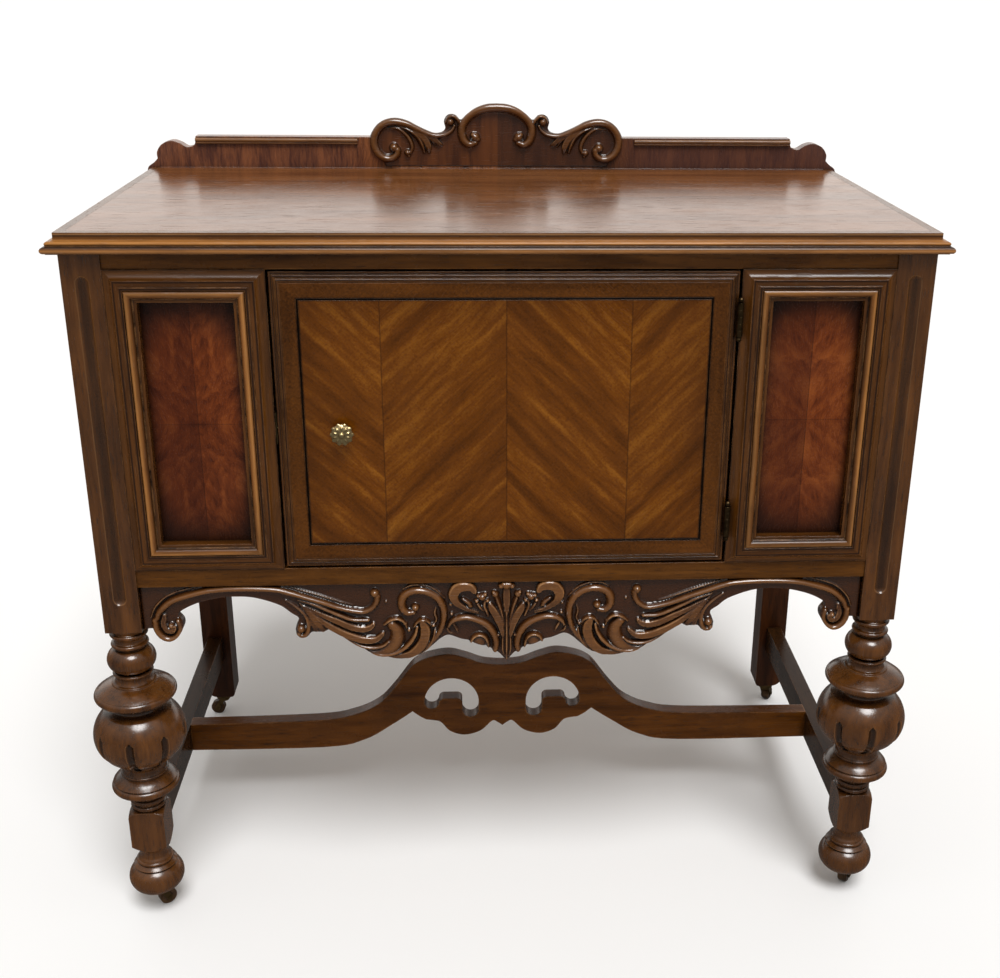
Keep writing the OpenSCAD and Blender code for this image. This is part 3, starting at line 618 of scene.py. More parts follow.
APRON_STROKES = strokes(
    # The long arch, its quirk, and the reeds that run on from it
    ("round", [(452, 466), (446, 478), (431, 491), (410, 499), (380, 506), (340, 508), (300, 506),
     (280, 501), (260, 494), (240, 487), (220, 479), (202, 474), (186, 472), (175, 477), (169, 486),
     (168, 494)], (8, 10, 10, 10, 9, 9, 8, 9), (7, 9, 9, 9, 9, 8, 8, 8)),
    ("round", [(459, 468), (452, 483), (436, 498), (412, 507), (382, 511)], (2, 3, 3, 2), (4, 4, 4, 1)),
    ("round", [(300, 511.5), (280, 508), (258, 501), (238, 494), (215, 485), (200, 480)], (2, 3, 3, 2),
     (2, 4, 4, 2)),
    (171, 498, 13, 9.5), (157, 485, 4, 4),
    ("round", [(270, 490), (250, 484), (232, 475), (214, 466), (200, 460.5), (181, 459)], (4, 7, 7, 7, 6),
     (5, 8, 8, 8, 6)),
    ("hollow", [(262, 480), (240, 468), (221, 459), (203, 450), (188, 446.5), (178, 449), (174, 453)],
     (4, 9, 10, 9, 5), (4, 7, 7, 7, 5)),
    ("hollow", [(258, 474), (240, 459), (222, 446), (205, 437), (188, 431), (172, 431), (162, 439)],
     (4, 10, 11, 11, 5), (4, 8, 8, 8, 6)),
    ("round", [(228, 446), (210, 432.5), (194, 423), (178, 419), (163, 421), (155, 427)], (3, 6, 7, 6, 4),
     (4, 7, 8, 8, 6)),
    # The outer scroll by the post
    ("round", [(454, 464), (453, 450), (446, 440), (436, 437), (427, 442), (423, 452), (425, 462)],
     (9, 11, 10, 9, 7), (8, 9, 9, 8, 6)),
    ("hollow", [(442, 470), (444, 458), (440, 450), (433, 449), (430, 454)], (6, 8, 8, 6), (4, 6, 7, 8)),
    (434, 456, 9, 9),
    # The small scroll at the arch's inner end, and its leaf
    ("round", [(286, 489), (272, 479), (262, 468), (258, 456), (259, 446), (263, 439), (269, 438)],
     (4, 6, 7, 8, 8), (3, 6, 8, 8, 7)),
    (268, 448, 13, 9), (271, 441, 9, 8),
    ("hollow", [(268, 484), (256, 471), (247, 458), (240, 446)], (3, 8, 10, 8), (3, 6, 7, 4)),
    ("ridge", [(262, 480), (250, 468), (240, 457), (232, 448)], (2, 4, 5, 4), (4, 8, 8, 5)),
    ("hollow", [(258, 464), (252, 456), (249, 446)], (5, 8, 7), (5, 6, 4)),
    (249, 456, 4, 8), (251, 462, 4, 8),
    # Two rolled leaves over the lower edge
    ("round", [(206, 424), (188, 413), (168, 410), (152, 417), (144, 430), (144, 443), (150, 453)],
     (4, 9, 14, 20, 20, 18, 15), (3, 5, 6, 8, 8.5, 9, 9.5)),
    ("ridge", [(160, 452), (152, 459), (142, 461), (134, 455), (131, 446)], (4, 6, 6, 5, 3),
     (8, 9.5, 9.5, 8, 5)),
    ("round", [(196, 417), (176, 409), (156, 408.5), (140, 414), (128, 424), (120, 437), (117, 449)],
     (3, 6, 7, 7, 7, 6, 5), (5, 8, 9, 9, 9, 9, 8)),
    ("hollow", [(166, 405), (146, 405), (128, 408), (115, 418), (108, 432), (107, 446), (110, 455)],
     (3, 8, 11, 14, 14, 13, 9), (4, 6, 7, 8, 8, 8.5, 9)),
    ("ridge", [(121, 448), (116, 456), (109, 459), (102, 455), (98, 447)], (4, 5, 6, 5, 3),
     (7, 9.5, 9.5, 8, 5)),
    ("ridge", [(132, 419), (124, 429), (119, 440)], (2, 3, 2), (7, 9.5, 8)),
    ("round", [(112, 410), (102, 420), (96, 432), (94, 443)], (3, 5, 5, 3), (6, 7, 7, 5)),
    (96, 450, 6, 7), (133, 453, 7, 6), (128, 443, 5, 6), (218, 458, 4, 6),
    # The large C scroll
    ("round", [(122, 470), (130, 469.5), (136, 477), (136, 488), (130, 497), (117, 501.5), (103, 499),
     (91, 491), (84, 479), (82, 466), (84, 451), (90, 437), (100, 424), (112, 414)],
     (9, 11, 12, 12, 12, 12, 11, 9, 8, 7, 6), (8, 9, 9.5, 9.5, 9.5, 9, 9, 8, 7, 5)),
    (119, 476.5, 11, 9.5),
    ("round", [(134, 503), (122, 509), (106, 508), (92, 501), (80, 488)], (2, 3, 3, 3, 2), (4, 5, 5, 5, 3)),
    ("ridge", [(92, 476), (94, 468), (92, 458), (96, 450)], (2, 4, 4, 3), (3, 5, 5, 4)),
    # The ear leaf and the little crumpled one
    ("hollow", [(42, 499), (46, 505), (55, 507), (64, 504), (69, 495), (67, 485), (60, 478), (50, 472),
     (38, 467)], (7, 11, 14, 15, 14, 11, 8, 6, 4), (8, 9.5, 9.5, 9.5, 9, 7, 6, 6, 4)),
    ("ridge", [(44, 503), (52, 510), (62, 509), (70, 501), (72, 491)], (3, 4, 4, 4, 2),
     (9, 9.5, 9.5, 9, 6)),
    ("round", [(57, 487), (50, 482), (46, 476)], (6, 7, 4), (5, 7, 5)),
    (73, 480, 5, 6), (72, 466, 5, 6), (48, 478, 7, 7), (32, 490, 12, 9), (25, 485, 6, 8), (39, 485, 7, 8),
     (37, 492, 6, 8), (28, 494, 6, 8),
    ("ridge", [(28, 484), (29, 477), (26, 469), (24, 463)], (6, 6, 6, 5), (7, 8, 8, 7)),
    ("round", [(38, 480), (34, 474), (30, 470)], (4, 5, 4), (5, 6, 4)),
    # The palmette and its stalk
    (0, 507, 15, 9.5), (7, 506, 9, 9), (4, 509, 8, 9),
    ("hollow", [(0, 500), (0, 484), (0, 466)], (9, 10, 5), (5, 6, 6)),
    (15, 494, 10, 8.5), (17, 497, 5, 8.5),
    ("ridge", [(14, 491), (10, 479), (6, 464), (3, 447)], (7, 8, 7, 4), (7, 7, 7, 6)),
    ("hollow", [(22, 480), (19, 473), (13, 462), (8, 449), (5, 434)], (5, 10, 11, 9, 5), (5, 7, 7, 7, 6)),
    ("ridge", [(0, 470), (0, 440), (0, 415), (0, 398)], (5, 6, 6, 5), (7, 8, 7, 6)),
    ("round", [(4, 440), (5, 425), (5, 412), (3, 402)], (3, 4, 4, 3), (5, 5, 5, 4)),
    # The lower scroll with its shell
    ("round", [(76, 448), (72, 455), (64, 459.5), (52, 461), (39, 457), (27, 450), (19, 440), (15, 429),
     (14, 418), (17, 408), (22, 405)], (5, 7, 9, 10, 10, 11, 11, 10, 9, 7, 5),
     (6, 8, 9, 9, 9, 9, 9, 8, 8, 7, 5)),
    ("ridge", [(78, 445), (76, 440), (71, 437)], (3, 4, 3), (6, 6, 4)),
    ("round", [(70, 452), (66, 444), (64, 438)], (4, 4, 3), (5, 5, 3)),
    (36, 425, 22, 7),
    ("ridge", [(47, 425), (43, 432), (36, 435), (29, 432), (25, 424), (24, 416)], (5, 7, 7, 7, 6, 4),
     (9, 9.5, 9.5, 9.5, 9, 7)),
    ("round", [(40, 421), (34, 414), (26, 411)], (6, 7, 5), (5, 6, 5)),
    (11, 434, 5, 6), (12, 421, 5, 6),
)

CREST_EDGE = [
    (0, 1063.8), (16, 1062.6), (32, 1057), (45, 1048), (53, 1040.5), (57, 1041), (62, 1046.5), (70, 1048),
    (77, 1044), (80, 1036), (78, 1027), (83, 1021.5), (94, 1020), (106, 1024), (120, 1030.5), (135, 1038),
    (152, 1041.8), (168, 1039.4), (181, 1031.5), (190, 1019), (192.6, 1007), (190, 994), (182, 982),
    (172, 975), (170, 970), (0, 970),
]

CREST_STROKES = strokes(
    ("round", [(33, 1006), (41, 1003), (49, 1008), (53, 1019), (52, 1031), (45, 1042), (33, 1051),
     (17, 1056.5), (0, 1057.8)], (9, 11, 12, 12, 12, 13, 13, 13), (8, 9, 9, 9, 9, 9, 9)),
    (33, 1014, 13, 10), (29, 1011, 8, 8), (36, 1017, 8, 9),
    ("round", [(54, 1032), (59, 1040), (66, 1045), (73, 1043), (77, 1036)], (5, 6, 6, 5, 3),
     (6, 8, 8, 7, 5)),
    (70, 1036.5, 11, 9),
    ("round", [(64, 1031), (68, 1024), (77, 1018), (92, 1016), (106, 1019.5), (120, 1026), (136, 1033),
     (153, 1036.3), (168, 1034), (179, 1026), (185.5, 1014), (186, 1002), (181, 990), (171, 982.5),
     (160, 982), (152, 988), (151, 995)], (4, 6, 8, 9, 11, 12, 12, 12, 12, 11, 10, 9),
     (5, 7, 8, 9, 9, 9, 9, 9, 9, 9, 9)),
    (156, 998, 13, 10), (150, 994, 8, 8),
    ("round", [(166, 1026), (152, 1027), (140, 1020), (132, 1010), (128.5, 999), (131, 991)],
     (3, 5, 6, 6, 6, 5), (3, 6, 7, 7, 7, 6)),
    (135.5, 990.5, 9, 8), (134, 986, 5, 6),
    ("ridge", [(150, 1030), (133, 1024), (120, 1014), (113, 1002), (110, 991)], (4, 7, 8, 8, 5),
     (5, 8, 8, 8, 4)),
    ("hollow", [(138, 1029), (122, 1022), (110, 1012), (104, 1001), (103, 991)], (4, 8, 9, 8, 4),
     (5, 7, 7, 7, 3)),
    ("ridge", [(120, 1024), (108, 1017), (99, 1009), (92, 1000)], (4, 6, 6, 3), (5, 7, 6, 3)),
    ("hollow", [(106, 1018), (96, 1012), (88, 1005), (83, 1002)], (4, 7, 6, 3), (5, 6, 5, 2)),
)


# ---------------------------------------------------------------- turning


def bead(z, r, h, start=90, stop=-90, count=9):
    """Points of a round ring's section, from its top down."""
    return [
        (r - h + h * math.cos(a), z + h * math.sin(a)) for a in np.radians(np.linspace(start, stop, count))
    ]


def sweep(*points):
    """Points of a smooth hollow or shoulder between turned rings."""
    return [tuple(p) for p in along(points, 2.0)]


# The front leg's section in millimetres, from the post down to the caster
LEG_SECTION = [
    (0, 449.2), (23.4, 449.2), *sweep((23.3, 448), (22.2, 445.5), (21.2, 443)), *bead(439.5, 24.6, 2.6),
    *sweep((21, 436), (18.8, 432), (20, 428)), *bead(424.5, 24.2, 2.8), (20.5, 421), (19, 419),
    *bead(401.5, 31.5, 17.5, 75, -80, 22), (24, 384.2), *bead(382, 26.2, 1.8, count=5),
    *sweep((23, 379.5), (22.6, 374), (25, 369.6)), (28.5, 368.6), (29, 366.4),
    *sweep((31, 365.4), (38, 362.8), (45, 359.4), (49.6, 356.2)), *bead(350.6, 53.5, 5.6, 75, -90, 12),
    *sweep((46, 344.6), (38, 342), (31.6, 338)), *bead(335, 32.2, 2.0, count=6),
    *sweep((29.4, 332.6), (30, 329), (33.4, 326.6)),
    *bead(290, 60.5, 45, 52, -62, 44), (33.2, 249.6), *bead(247, 34.2, 2.4, count=6),
    *sweep((30.4, 244), (27.6, 239), (28.6, 233)), *bead(229.5, 31.6, 2.0, count=6), (31.4, 226.6),
    *sweep((33, 225.6), (38, 221.8), (42.4, 216.8)), *bead(209, 45, 6.0, 75, -90, 12),
    *sweep((37, 203), (28, 200), (22.4, 194), (20.8, 190)), *bead(184.5, 24.4, 3.6), (20.6, 179.6),
    *bead(175, 23.6, 3.4), (21.2, 171.2),
]
FOOT_SECTION = [
    (21.4, 107.8), *sweep((20.4, 105), (18.8, 99), (19.4, 92), (22.4, 88)), *bead(84, 25.2, 2.6),
    (24.6, 80.6), *sweep((26, 79.4), (29.6, 76.8)), *bead(56, 37.5, 22, 68, -80, 26), (13.4, 34.2), (0, 34.2),
]
LEG_TOP = LEG_SECTION[0][1]
# The square block's ends and half width, and the gouges that run up the bulb: top, half width and depth
BLOCK = (171.2, 107.8)
BLOCK_HALF = 23.5
GOUGE_TOP, GOUGE_HALF, GOUGE_DEPTH = 302, 5.2, 5.0
# The post's flutes: half width, where they start and stop, and the depth at which their painted shade is full
FLUTE_HALF, FLUTE_LOW, FLUTE_HIGH, FLUTE_DARK = 9, 470, 930, 7.5


def leg_surface():
    """Rows of the leg's surface: radius and height, with the square block's corners and the bulb's gouges."""
    turns = 192
    angle = np.arange(turns) * 2 * math.pi / turns
    square = BLOCK_HALF / np.maximum(abs(np.cos(angle)), abs(np.sin(angle)))
    rows = []
    for r, z in LEG_SECTION:
        radius = np.full(turns, float(r))
        if 235 < z < 312 and r > 33.3:
            middle = np.sin(angle * 4)
            wide = abs(middle) * 2 * r / 8
            start = np.clip((GOUGE_TOP - z) / 7, 0, 1)
            half = GOUGE_HALF * math.sqrt(max(0.0, 1 - (1 - start) ** 2)) if z < GOUGE_TOP else 0.0
            if half > 0.3:
                radius -= GOUGE_DEPTH * (1 - np.clip(wide / half, 0, 1) ** 2) ** 0.6
        rows.append((radius, z, np.clip((r - radius) / GOUGE_DEPTH, 0, 1)))
    high, low_z = BLOCK
    for z in np.concatenate([np.linspace(high, high - 15, 16), np.linspace(low_z + 9, low_z, 8)]):
        down = high - z
        shoulder = 21.5 + 13 * math.sqrt(max(0.0, 1 - (1 - min(down, 14) / 14) ** 2))
        chamfer = 24.5 + (z - low_z) * 1.15
        rows.append((np.minimum(square, min(shoulder, chamfer)), z, np.zeros(turns)))
    rows += [(np.full(turns, float(r)), z, np.zeros(turns)) for r, z in FOOT_SECTION]
    return angle, rows


def turned_leg(name, node, side):
    """The front leg: the post cut from its frame node, over a finely turned and gouged length."""
    post = bmesh.new()
    post.from_mesh(NODES[node].data)
    bmesh.ops.remove_doubles(post, verts=post.verts, dist=1e-6)
    everything = [*post.verts, *post.edges, *post.faces]
    cut = (0, 0, LEG_TOP * MM)
    bmesh.ops.bisect_plane(post, geom=everything, plane_co=cut, plane_no=(0, 0, 1), clear_inner=True)
    bmesh.ops.holes_fill(post, edges=[e for e in post.edges if e.is_boundary])
    centre = Vector((side * POST_X, CASE_FRONT + POST_SIDE / 2, 0))
    angle, rows = leg_surface()
    # How deep each point lies in a flute or gouge, which the turned walnut paints as shade.
    groove = post.verts.layers.float.new("groove")
    for vert in post.verts:
        across = abs(vert.co.x) - POST_X, vert.co.y - CASE_FRONT - POST_SIDE / 2
        front, outer = (across[0], vert.co.y - CASE_FRONT), (across[1], POST_SIDE / 2 - across[0])
        for along_face, depth in (front, outer):
            in_flute = abs(along_face) < FLUTE_HALF * MM and FLUTE_LOW * MM < vert.co.z < FLUTE_HIGH * MM
            if in_flute and 0.2 * MM < depth < 8 * MM:
                vert[groove] = min(depth / (FLUTE_DARK * MM), 1.0)
    rings = []
    for radius, z, cut_in in rows:
        if radius.max() < 0.01:
            rings.append([post.verts.new(centre + Vector((0, 0, z * MM)))])
            continue
        rings.append([
            post.verts.new(centre + Vector((r * math.cos(a), r * math.sin(a), z)) * MM)
            for a, r in zip(angle, radius)
        ])
        for vert, amount in zip(rings[-1], cut_in):
            vert[groove] = amount
    for upper, lower in zip(rings, rings[1:]):
        count = max(len(upper), len(lower))
        for i in range(count):
            k = (i + 1) % count
            if len(upper) == 1:
                post.faces.new((upper[0], lower[i], lower[k]))
            elif len(lower) == 1:
                post.faces.new((lower[0], upper[k], upper[i]))
            else:
                post.faces.new((upper[i], lower[i], lower[k], upper[k]))
    bmesh.ops.recalc_face_normals(post, faces=post.faces)
    for face in post.faces:
        face.smooth = True
    for edge in post.edges:
        edge.smooth = edge.calc_face_angle(0.0) < math.radians(38)
    mesh = bpy.data.meshes.new(name)
    post.to_mesh(mesh)
    post.free()
    return add_piece(name, mesh)


# ---------------------------------------------------------------- rosette


class Growth(Recipe):
    """A geometry node tree while it is being written, with its sizes as named inputs."""

    def __init__(self, name, sizes):
        self.tree = bpy.data.node_groups.new(name, "GeometryNodeTree")
        for label, (kind, value) in sizes.items():
            self.tree.interface.new_socket(label, in_out="INPUT", socket_type=kind).default_value = value
        self.tree.interface.new_socket("Geometry", in_out="OUTPUT", socket_type="NodeSocketGeometry")
        entry = self.tree.nodes.new("NodeGroupInput")
        self.sizes = {label: Wire(self, entry.outputs[label]) for label in sizes}

    def up(self, shape, height):
        """A shape moved out along the knob's axis."""
        at = self.join(0.0, 0.0, height)
        return self.add("GeometryNodeTransform", None, {"Geometry": shape, "Translation": at})

    def rod(self, radius, length):
        """A round rod that starts at the door and runs out along the knob's axis."""
        rod = self.add("GeometryNodeMeshCylinder", None, {"Vertices": 32, "Radius": radius, "Depth": length})
        return self.up(rod, length * 0.5)

    def ball(self, radius, width, length, height):
        """A round lump, stretched three ways."""
        ball = self.add("GeometryNodeMeshUVSphere", None, {"Segments": 20, "Rings": 12, "Radius": radius})
        size = self.join(width, length, height)
        return self.add("GeometryNodeTransform", None, {"Geometry": ball, "Scale": size})

    def ring(self, count, radius, height, lump, turn=0.0):
        """Copies of a lump round a circle, each turned to face outward."""
        circle = self.add("GeometryNodeMeshCircle", None, {"Vertices": count, "Radius": radius})
        angle = self.add("GeometryNodeInputIndex") * (2 * math.pi) / count
        copies = self.add(
            "GeometryNodeInstanceOnPoints", None,
            {"Points": circle, "Instance": lump, "Rotation": self.join(0.0, 0.0, angle)},
        )
        return self.add(
            "GeometryNodeTransform", None,
            {"Geometry": copies, "Translation": self.join(0.0, 0.0, height), "Rotation": (0.0, 0.0, turn)},
        )


def rosette_tree(material):
    """A knob: a stem, a domed cup, a ring of petals, a ring of beads between them and a middle bead."""
    tree = Growth("rosette", {
        "Petals": ("NodeSocketInt", 10),
        "Radius": ("NodeSocketFloat", 0.0148),
        "Reach": ("NodeSocketFloat", 0.0205),
    })
    count, radius, reach = tree.sizes["Petals"], tree.sizes["Radius"], tree.sizes["Reach"]
    petal, bead_between = tree.ball(radius * 0.24, 1.0, 0.9, 0.62), tree.ball(radius * 0.15, 1.5, 0.75, 0.9)
    parts = [
        tree.rod(radius * 0.36, reach * 0.8),
        tree.rod(radius * 0.55, reach * 0.12),
        tree.up(tree.ball(radius, 0.93, 0.93, 0.34), reach * 0.68),
        tree.ring(count, radius * 0.76, reach * 0.7, petal),
        tree.ring(count, radius * 0.52, reach * 0.82, bead_between, math.radians(18)),
        tree.up(tree.ball(radius * 0.26, 1.0, 1.0, 0.75), reach * 0.9),
    ]
    joined = tree.tree.nodes.new("GeometryNodeJoinGeometry")
    for part in parts:
        tree.tree.links.new(part.socket, joined.inputs[0])
    whole = tree.add("GeometryNodeRealizeInstances", None, [Wire(tree, joined.outputs[0])])
    whole = tree.add("GeometryNodeSetMaterial", None, {"Geometry": whole, "Material": material})
    exit_node = tree.tree.nodes.new("NodeGroupOutput")
    tree.tree.links.new(whole.socket, exit_node.inputs[0])
    return tree.tree


def grown(name, tree, sizes):
    """The plain mesh that a node tree makes with the given sizes."""
    carrier = bpy.data.objects.new(name, bpy.data.meshes.new(name))
    bpy.context.scene.collection.objects.link(carrier)
    modifier = carrier.modifiers.new(name, "NODES")
    modifier.node_group = tree
    for item in tree.interface.items_tree:
        if item.item_type == "SOCKET" and item.in_out == "INPUT":
            modifier[item.identifier] = sizes[item.name]
    depsgraph = bpy.context.evaluated_depsgraph_get()
    mesh = bpy.data.meshes.new_from_object(carrier.evaluated_get(depsgraph))
    carrier.modifiers.remove(modifier)
    bpy.data.objects.remove(carrier)
    return mesh


# ---------------------------------------------------------------- properties


def colour(name, description, *screen):
    """A colour to choose, its default as it shows on screen."""
    return FloatVectorProperty(
        name=name, description=description, default=paint(*screen), subtype="COLOR", min=0.0, max=1.0
    )


def lean(name, description, degrees):
    """An angle to choose, its default in degrees."""
    return FloatProperty(name=name, description=description, default=math.radians(degrees), subtype="ANGLE")


class StageSettings(PropertyGroup):
    """Where the view is taken from, and the light."""

    eye: FloatVectorProperty(
        name="Eye", description="Place of the view", default=(-0.0448, -1.791, 1.2579), subtype="TRANSLATION"
    )
    yaw: lean("Yaw", "Turn to the left", -3.722)
    pitch: lean("Pitch", "Tilt down", -21.367)
    roll: lean("Roll", "Lean", -0.740)
    lens: FloatProperty(name="Lens", description="Focal length in millimetres", default=47.013)
    shift: FloatVectorProperty(name="Shift", description="Lens shift", size=2, default=(-0.05004, -0.01218))
    sky: FloatProperty(name="Sky", description="Strength of the light from all round", default=1.0, min=0.0)
    lamp: FloatProperty(name="Lamp", description="Strength of the overhead softbox", default=2.4, min=0.0)
    lamp_from: FloatVectorProperty(
        name="Lamp from", description="Direction of the softbox", default=(0.12, -0.55, 1.0)
    )


class FinishSettings(PropertyGroup):
    """Colours of the wood and the metal."""

    walnut_dark: colour("Dark walnut", "Dark fibres of the posts and sides", 44, 21, 3)
    walnut_light: colour("Light walnut", "Light fibres of the posts and sides", 126, 76, 22)
    brass: colour("Knob brass", "Brass of the knob and the catch", 222, 198, 146)
    hinge_brass: colour("Hinge brass", "Darker brass of the hinges", 92, 74, 50)
    caster: colour("Casters", "Worn plating of the casters", 120, 98, 64)


class KnobSettings(PropertyGroup):
    """The knob's rosette."""

    petals: IntProperty(name="Petals", description="Petals round the rosette", default=10, min=4, max=24)
    radius: FloatProperty(
        name="Radius", description="From the middle to the petals' tips", default=0.0148, min=0.006,
        subtype="DISTANCE", unit="LENGTH"
    )
    reach: FloatProperty(
        name="Reach", description="How far the rosette's front stands off the door", default=0.0205, min=0.01,
        subtype="DISTANCE", unit="LENGTH"
    )


class CarvingSettings(PropertyGroup):
    """How finely the carving is cut."""

    swell: FloatProperty(
        name="Swell", description="Extra width of the crest's scrolls", default=1.16, min=0.8, max=1.5
    )
    step: FloatProperty(
        name="Step", description="Spacing of the carved surface's points in millimetres", default=1.2,
        min=0.6, max=4.0
    )
    quick_step: FloatProperty(
        name="Quick step", description="The same for a quick look", default=2.4, min=0.6
    )


def studio_sky(strength):
    """A room that is bright behind and above the cabinet and dim in front, with a plain white backdrop."""
    world = bpy.data.worlds.new("studio")
    world.use_nodes = True
    sky = Recipe.__new__(Recipe)
    sky.tree = world.node_tree
    x, y, z = sky.axes(space=0)
    low_back = y.step(0.3, 0.9) * z.step(0.0, 0.06) * (1.0 - z.step(0.25, 0.6))
    level = z.step(-0.1, 0.9) * 0.42 + low_back * 1.08 + 0.13
    backdrop = sky.add("ShaderNodeLightPath")
    level = level * (1.0 - backdrop) + backdrop
    background = world.node_tree.nodes["Background"]
    background.inputs[0].default_value = (1.0, 0.965, 0.92, 1.0)
    sky.feed(background.inputs[1], level * strength)
    return world


# ---------------------------------------------------------------- operators


def sides(node):
    """The names of a left and right pair of nodes."""
    return node + "_left", node + "_right"


class CABINET_OT_stage(Operator):
    """Make the floor, the lights and the camera"""

    bl_idname = "cabinet.stage"
    bl_label = "Stage"

    def execute(self, context):
        scene = context.scene
        settings = scene.cabinet_stage
        floor = Recipe("pale_floor")
        cloud = floor.noise(floor.place(), 1.5, 3.0, 0.5)
        pale = floor.mix(cloud * 0.04, (0.9, 0.9, 0.9), (0.8, 0.8, 0.79))
        floor.set(Base_Color=pale, Roughness=0.9, Specular_IOR_Level=0.1)
        mesh = bpy.data.meshes.new("floor")
        far = 90.0
        corners = [(-far, -far, 0), (far, -far, 0), (far, far, 0), (-far, far, 0)]
        mesh.from_pydata(corners, [], [(0, 1, 2, 3)])
        mesh.materials.append(floor.material)
        plane = bpy.data.objects.new("floor", mesh)
        plane.visible_glossy = False
        scene.collection.objects.link(plane)
        scene.world = studio_sky(settings.sky)
        sun = bpy.data.lights.new("softbox", "SUN")
        sun.energy = settings.lamp
        sun.angle = math.radians(28)
        lamp = bpy.data.objects.new("softbox", sun)
        lamp.rotation_euler = Vector(settings.lamp_from).to_track_quat("Z", "Y").to_euler()
        scene.collection.objects.link(lamp)
        camera = bpy.data.cameras.new("view")
        camera.lens = settings.lens
        camera.sensor_width = 36.0
        camera.shift_x, camera.shift_y = settings.shift
        camera.clip_end = 300.0
        view = bpy.data.objects.new("view", camera)
        turn = (
            Matrix.Rotation(settings.yaw, 4, "Z")
            @ Matrix.Rotation(settings.pitch, 4, "X")
            @ Matrix.Rotation(settings.roll, 4, "Y")
            @ Matrix.Rotation(math.radians(90), 4, "X")
        )
        view.matrix_world = Matrix.Translation(settings.eye) @ turn
        scene.collection.objects.link(view)
        scene.camera = view
        scene.view_settings.view_transform = "Standard"
        return {"FINISHED"}


class CABINET_OT_boards(Operator):
    """Finish the boards, rails and mouldings of the case"""

    bl_idname = "cabinet.boards"
    bl_label = "Boards and mouldings"

    def execute(self, context):
        look = context.scene.cabinet_finish
        dark, light = tuple(look.walnut_dark), tuple(look.walnut_light)
        raw = paint(120, 90, 60), paint(160, 126, 90)
        top_tones = paint(92, 50, 20), paint(146, 93, 50)
        top = walnut("walnut_top", "x", *top_tones, 0.18, 0.5, 30.0, 0.2, 0.3, 0.55)
        finish_boards(top, "top_panel")
        finish_boards(edge_walnut("walnut_edge", "x"), "top_edge_front")
        finish_boards(edge_walnut("walnut_edge_side", "y"), *sides("top_edge"))
        # A wood's name, grain, dark and light fibres, gloss, how much its arrises are lightened as worn and
        # as painted highlight, and the nodes cut from it
        rails = "upper_rail", "lower_rail"
        for name, grain, low, pale, gloss, wear_and_highlight, nodes in (
            ("walnut_rail", "x", paint(52, 26, 3), paint(104, 62, 16), 0.26, 0.6, rails),
            ("walnut_upright", "z", dark, light, 0.3, 0.7, ("front_stiles",)),
            ("walnut_rear", "z", paint(36, 15, 3), paint(74, 37, 10), 0.3, 0.5, sides("rear_leg")),
            ("walnut_side", "z", dark, light, 0.3, 0.4, sides("side_panel")),
            ("walnut_depth", "y", dark, paint(96, 56, 18), 0.3, 0.6, sides("side_rails")),
            ("walnut_side_stretcher", "y", paint(36, 19, 6), paint(66, 40, 16), 0.28, 0.7,
             sides("side_stretcher")),
        ):
            finish_boards(walnut(name, grain, low, pale, gloss, wear_and_highlight), *nodes)
        tones = paint(64, 31, 2), paint(116, 66, 12)
        # Its wide radius spreads the lightened top arris into a line, partly worn and partly a painted
        # highlight.
        finish_boards(walnut("walnut_stretcher", "x", *tones, 0.26, 0.9, radius=0.003), "centre_stretcher")
        plain = walnut("plain_wood", "x", *raw, 0.55, 0.2)
        finish_boards(plain, "back_rails", "back_panel", "floor_board", "shelf")
        finish_boards(walnut("plain_wood_depth", "y", *raw, 0.55, 0.2), "shelf_cleats")
        # Band colours for the mouldings: tan is a painted highlight on the lit beads, black painted shade in
        # the quirks.
        tan, brown, black = paint(166, 112, 56), paint(88, 50, 12), paint(24, 10, 3)
        finish_boards(
            frame_walnut(
                "walnut_frame", PANEL_X, PANEL_Z, PANEL_HALF_W, PANEL_HALF_H,
                ((0.0, black), (0.05, 84, 48, 10), (0.3, 96, 56, 16), (0.36, black), (0.4, brown),
                 (0.5, brown), (0.57, black), (0.64, 96, 56, 18), (0.7, tan), (0.8, 120, 72, 26),
                 (0.88, black), (0.94, brown)),
                0.038,
            ),
            *sides("panel_frame"), *sides("panel_bead"),
        )
        finish_boards(
            # The door moulding's bands: the light stops are painted highlight lines, the black ones painted
            # shade in its quirks.
            frame_walnut(
                "walnut_door_moulding", 0.0, DOOR_Z, DOOR_HALF_W, DOOR_HALF_H,
                ((0.0, 70, 38, 8), (0.14, 104, 62, 22), (0.2, black), (0.3, 104, 62, 22), (0.4, black),
                 (0.5, 112, 68, 26), (0.68, brown), (0.75, black), (0.85, brown)),
                0.0125,
            ),
            "door_moulding",
        )
        finish_boards(book_matched("gallery_veneer"), "gallery_board")
        beads = walnut("walnut_beads", "x", paint(90, 54, 28), paint(160, 112, 66), 0.24, 0.6, shine=0.5)
        finish_boards(beads, "gallery_beads")
        return {"FINISHED"}


class CABINET_OT_veneers(Operator):
    """Lay the matched veneers on the door and the side panels"""

    bl_idname = "cabinet.veneers"
    bl_label = "Veneers"

    def execute(self, context):
        finish_boards(chevron("chevron_veneer"), "door_field")
        finish_boards(walnut("door_walnut", "x", paint(52, 26, 3), paint(90, 52, 14)), "door_core")
        finish_boards(crotch("crotch_veneer"), *sides("veneer_panel"))
        ebony = walnut("ebony_line", "x", paint(8, 4, 2), paint(20, 11, 6), 0.3, 0.0, shine=0.1)
        finish_boards(ebony, "door_line")
        return {"FINISHED"}


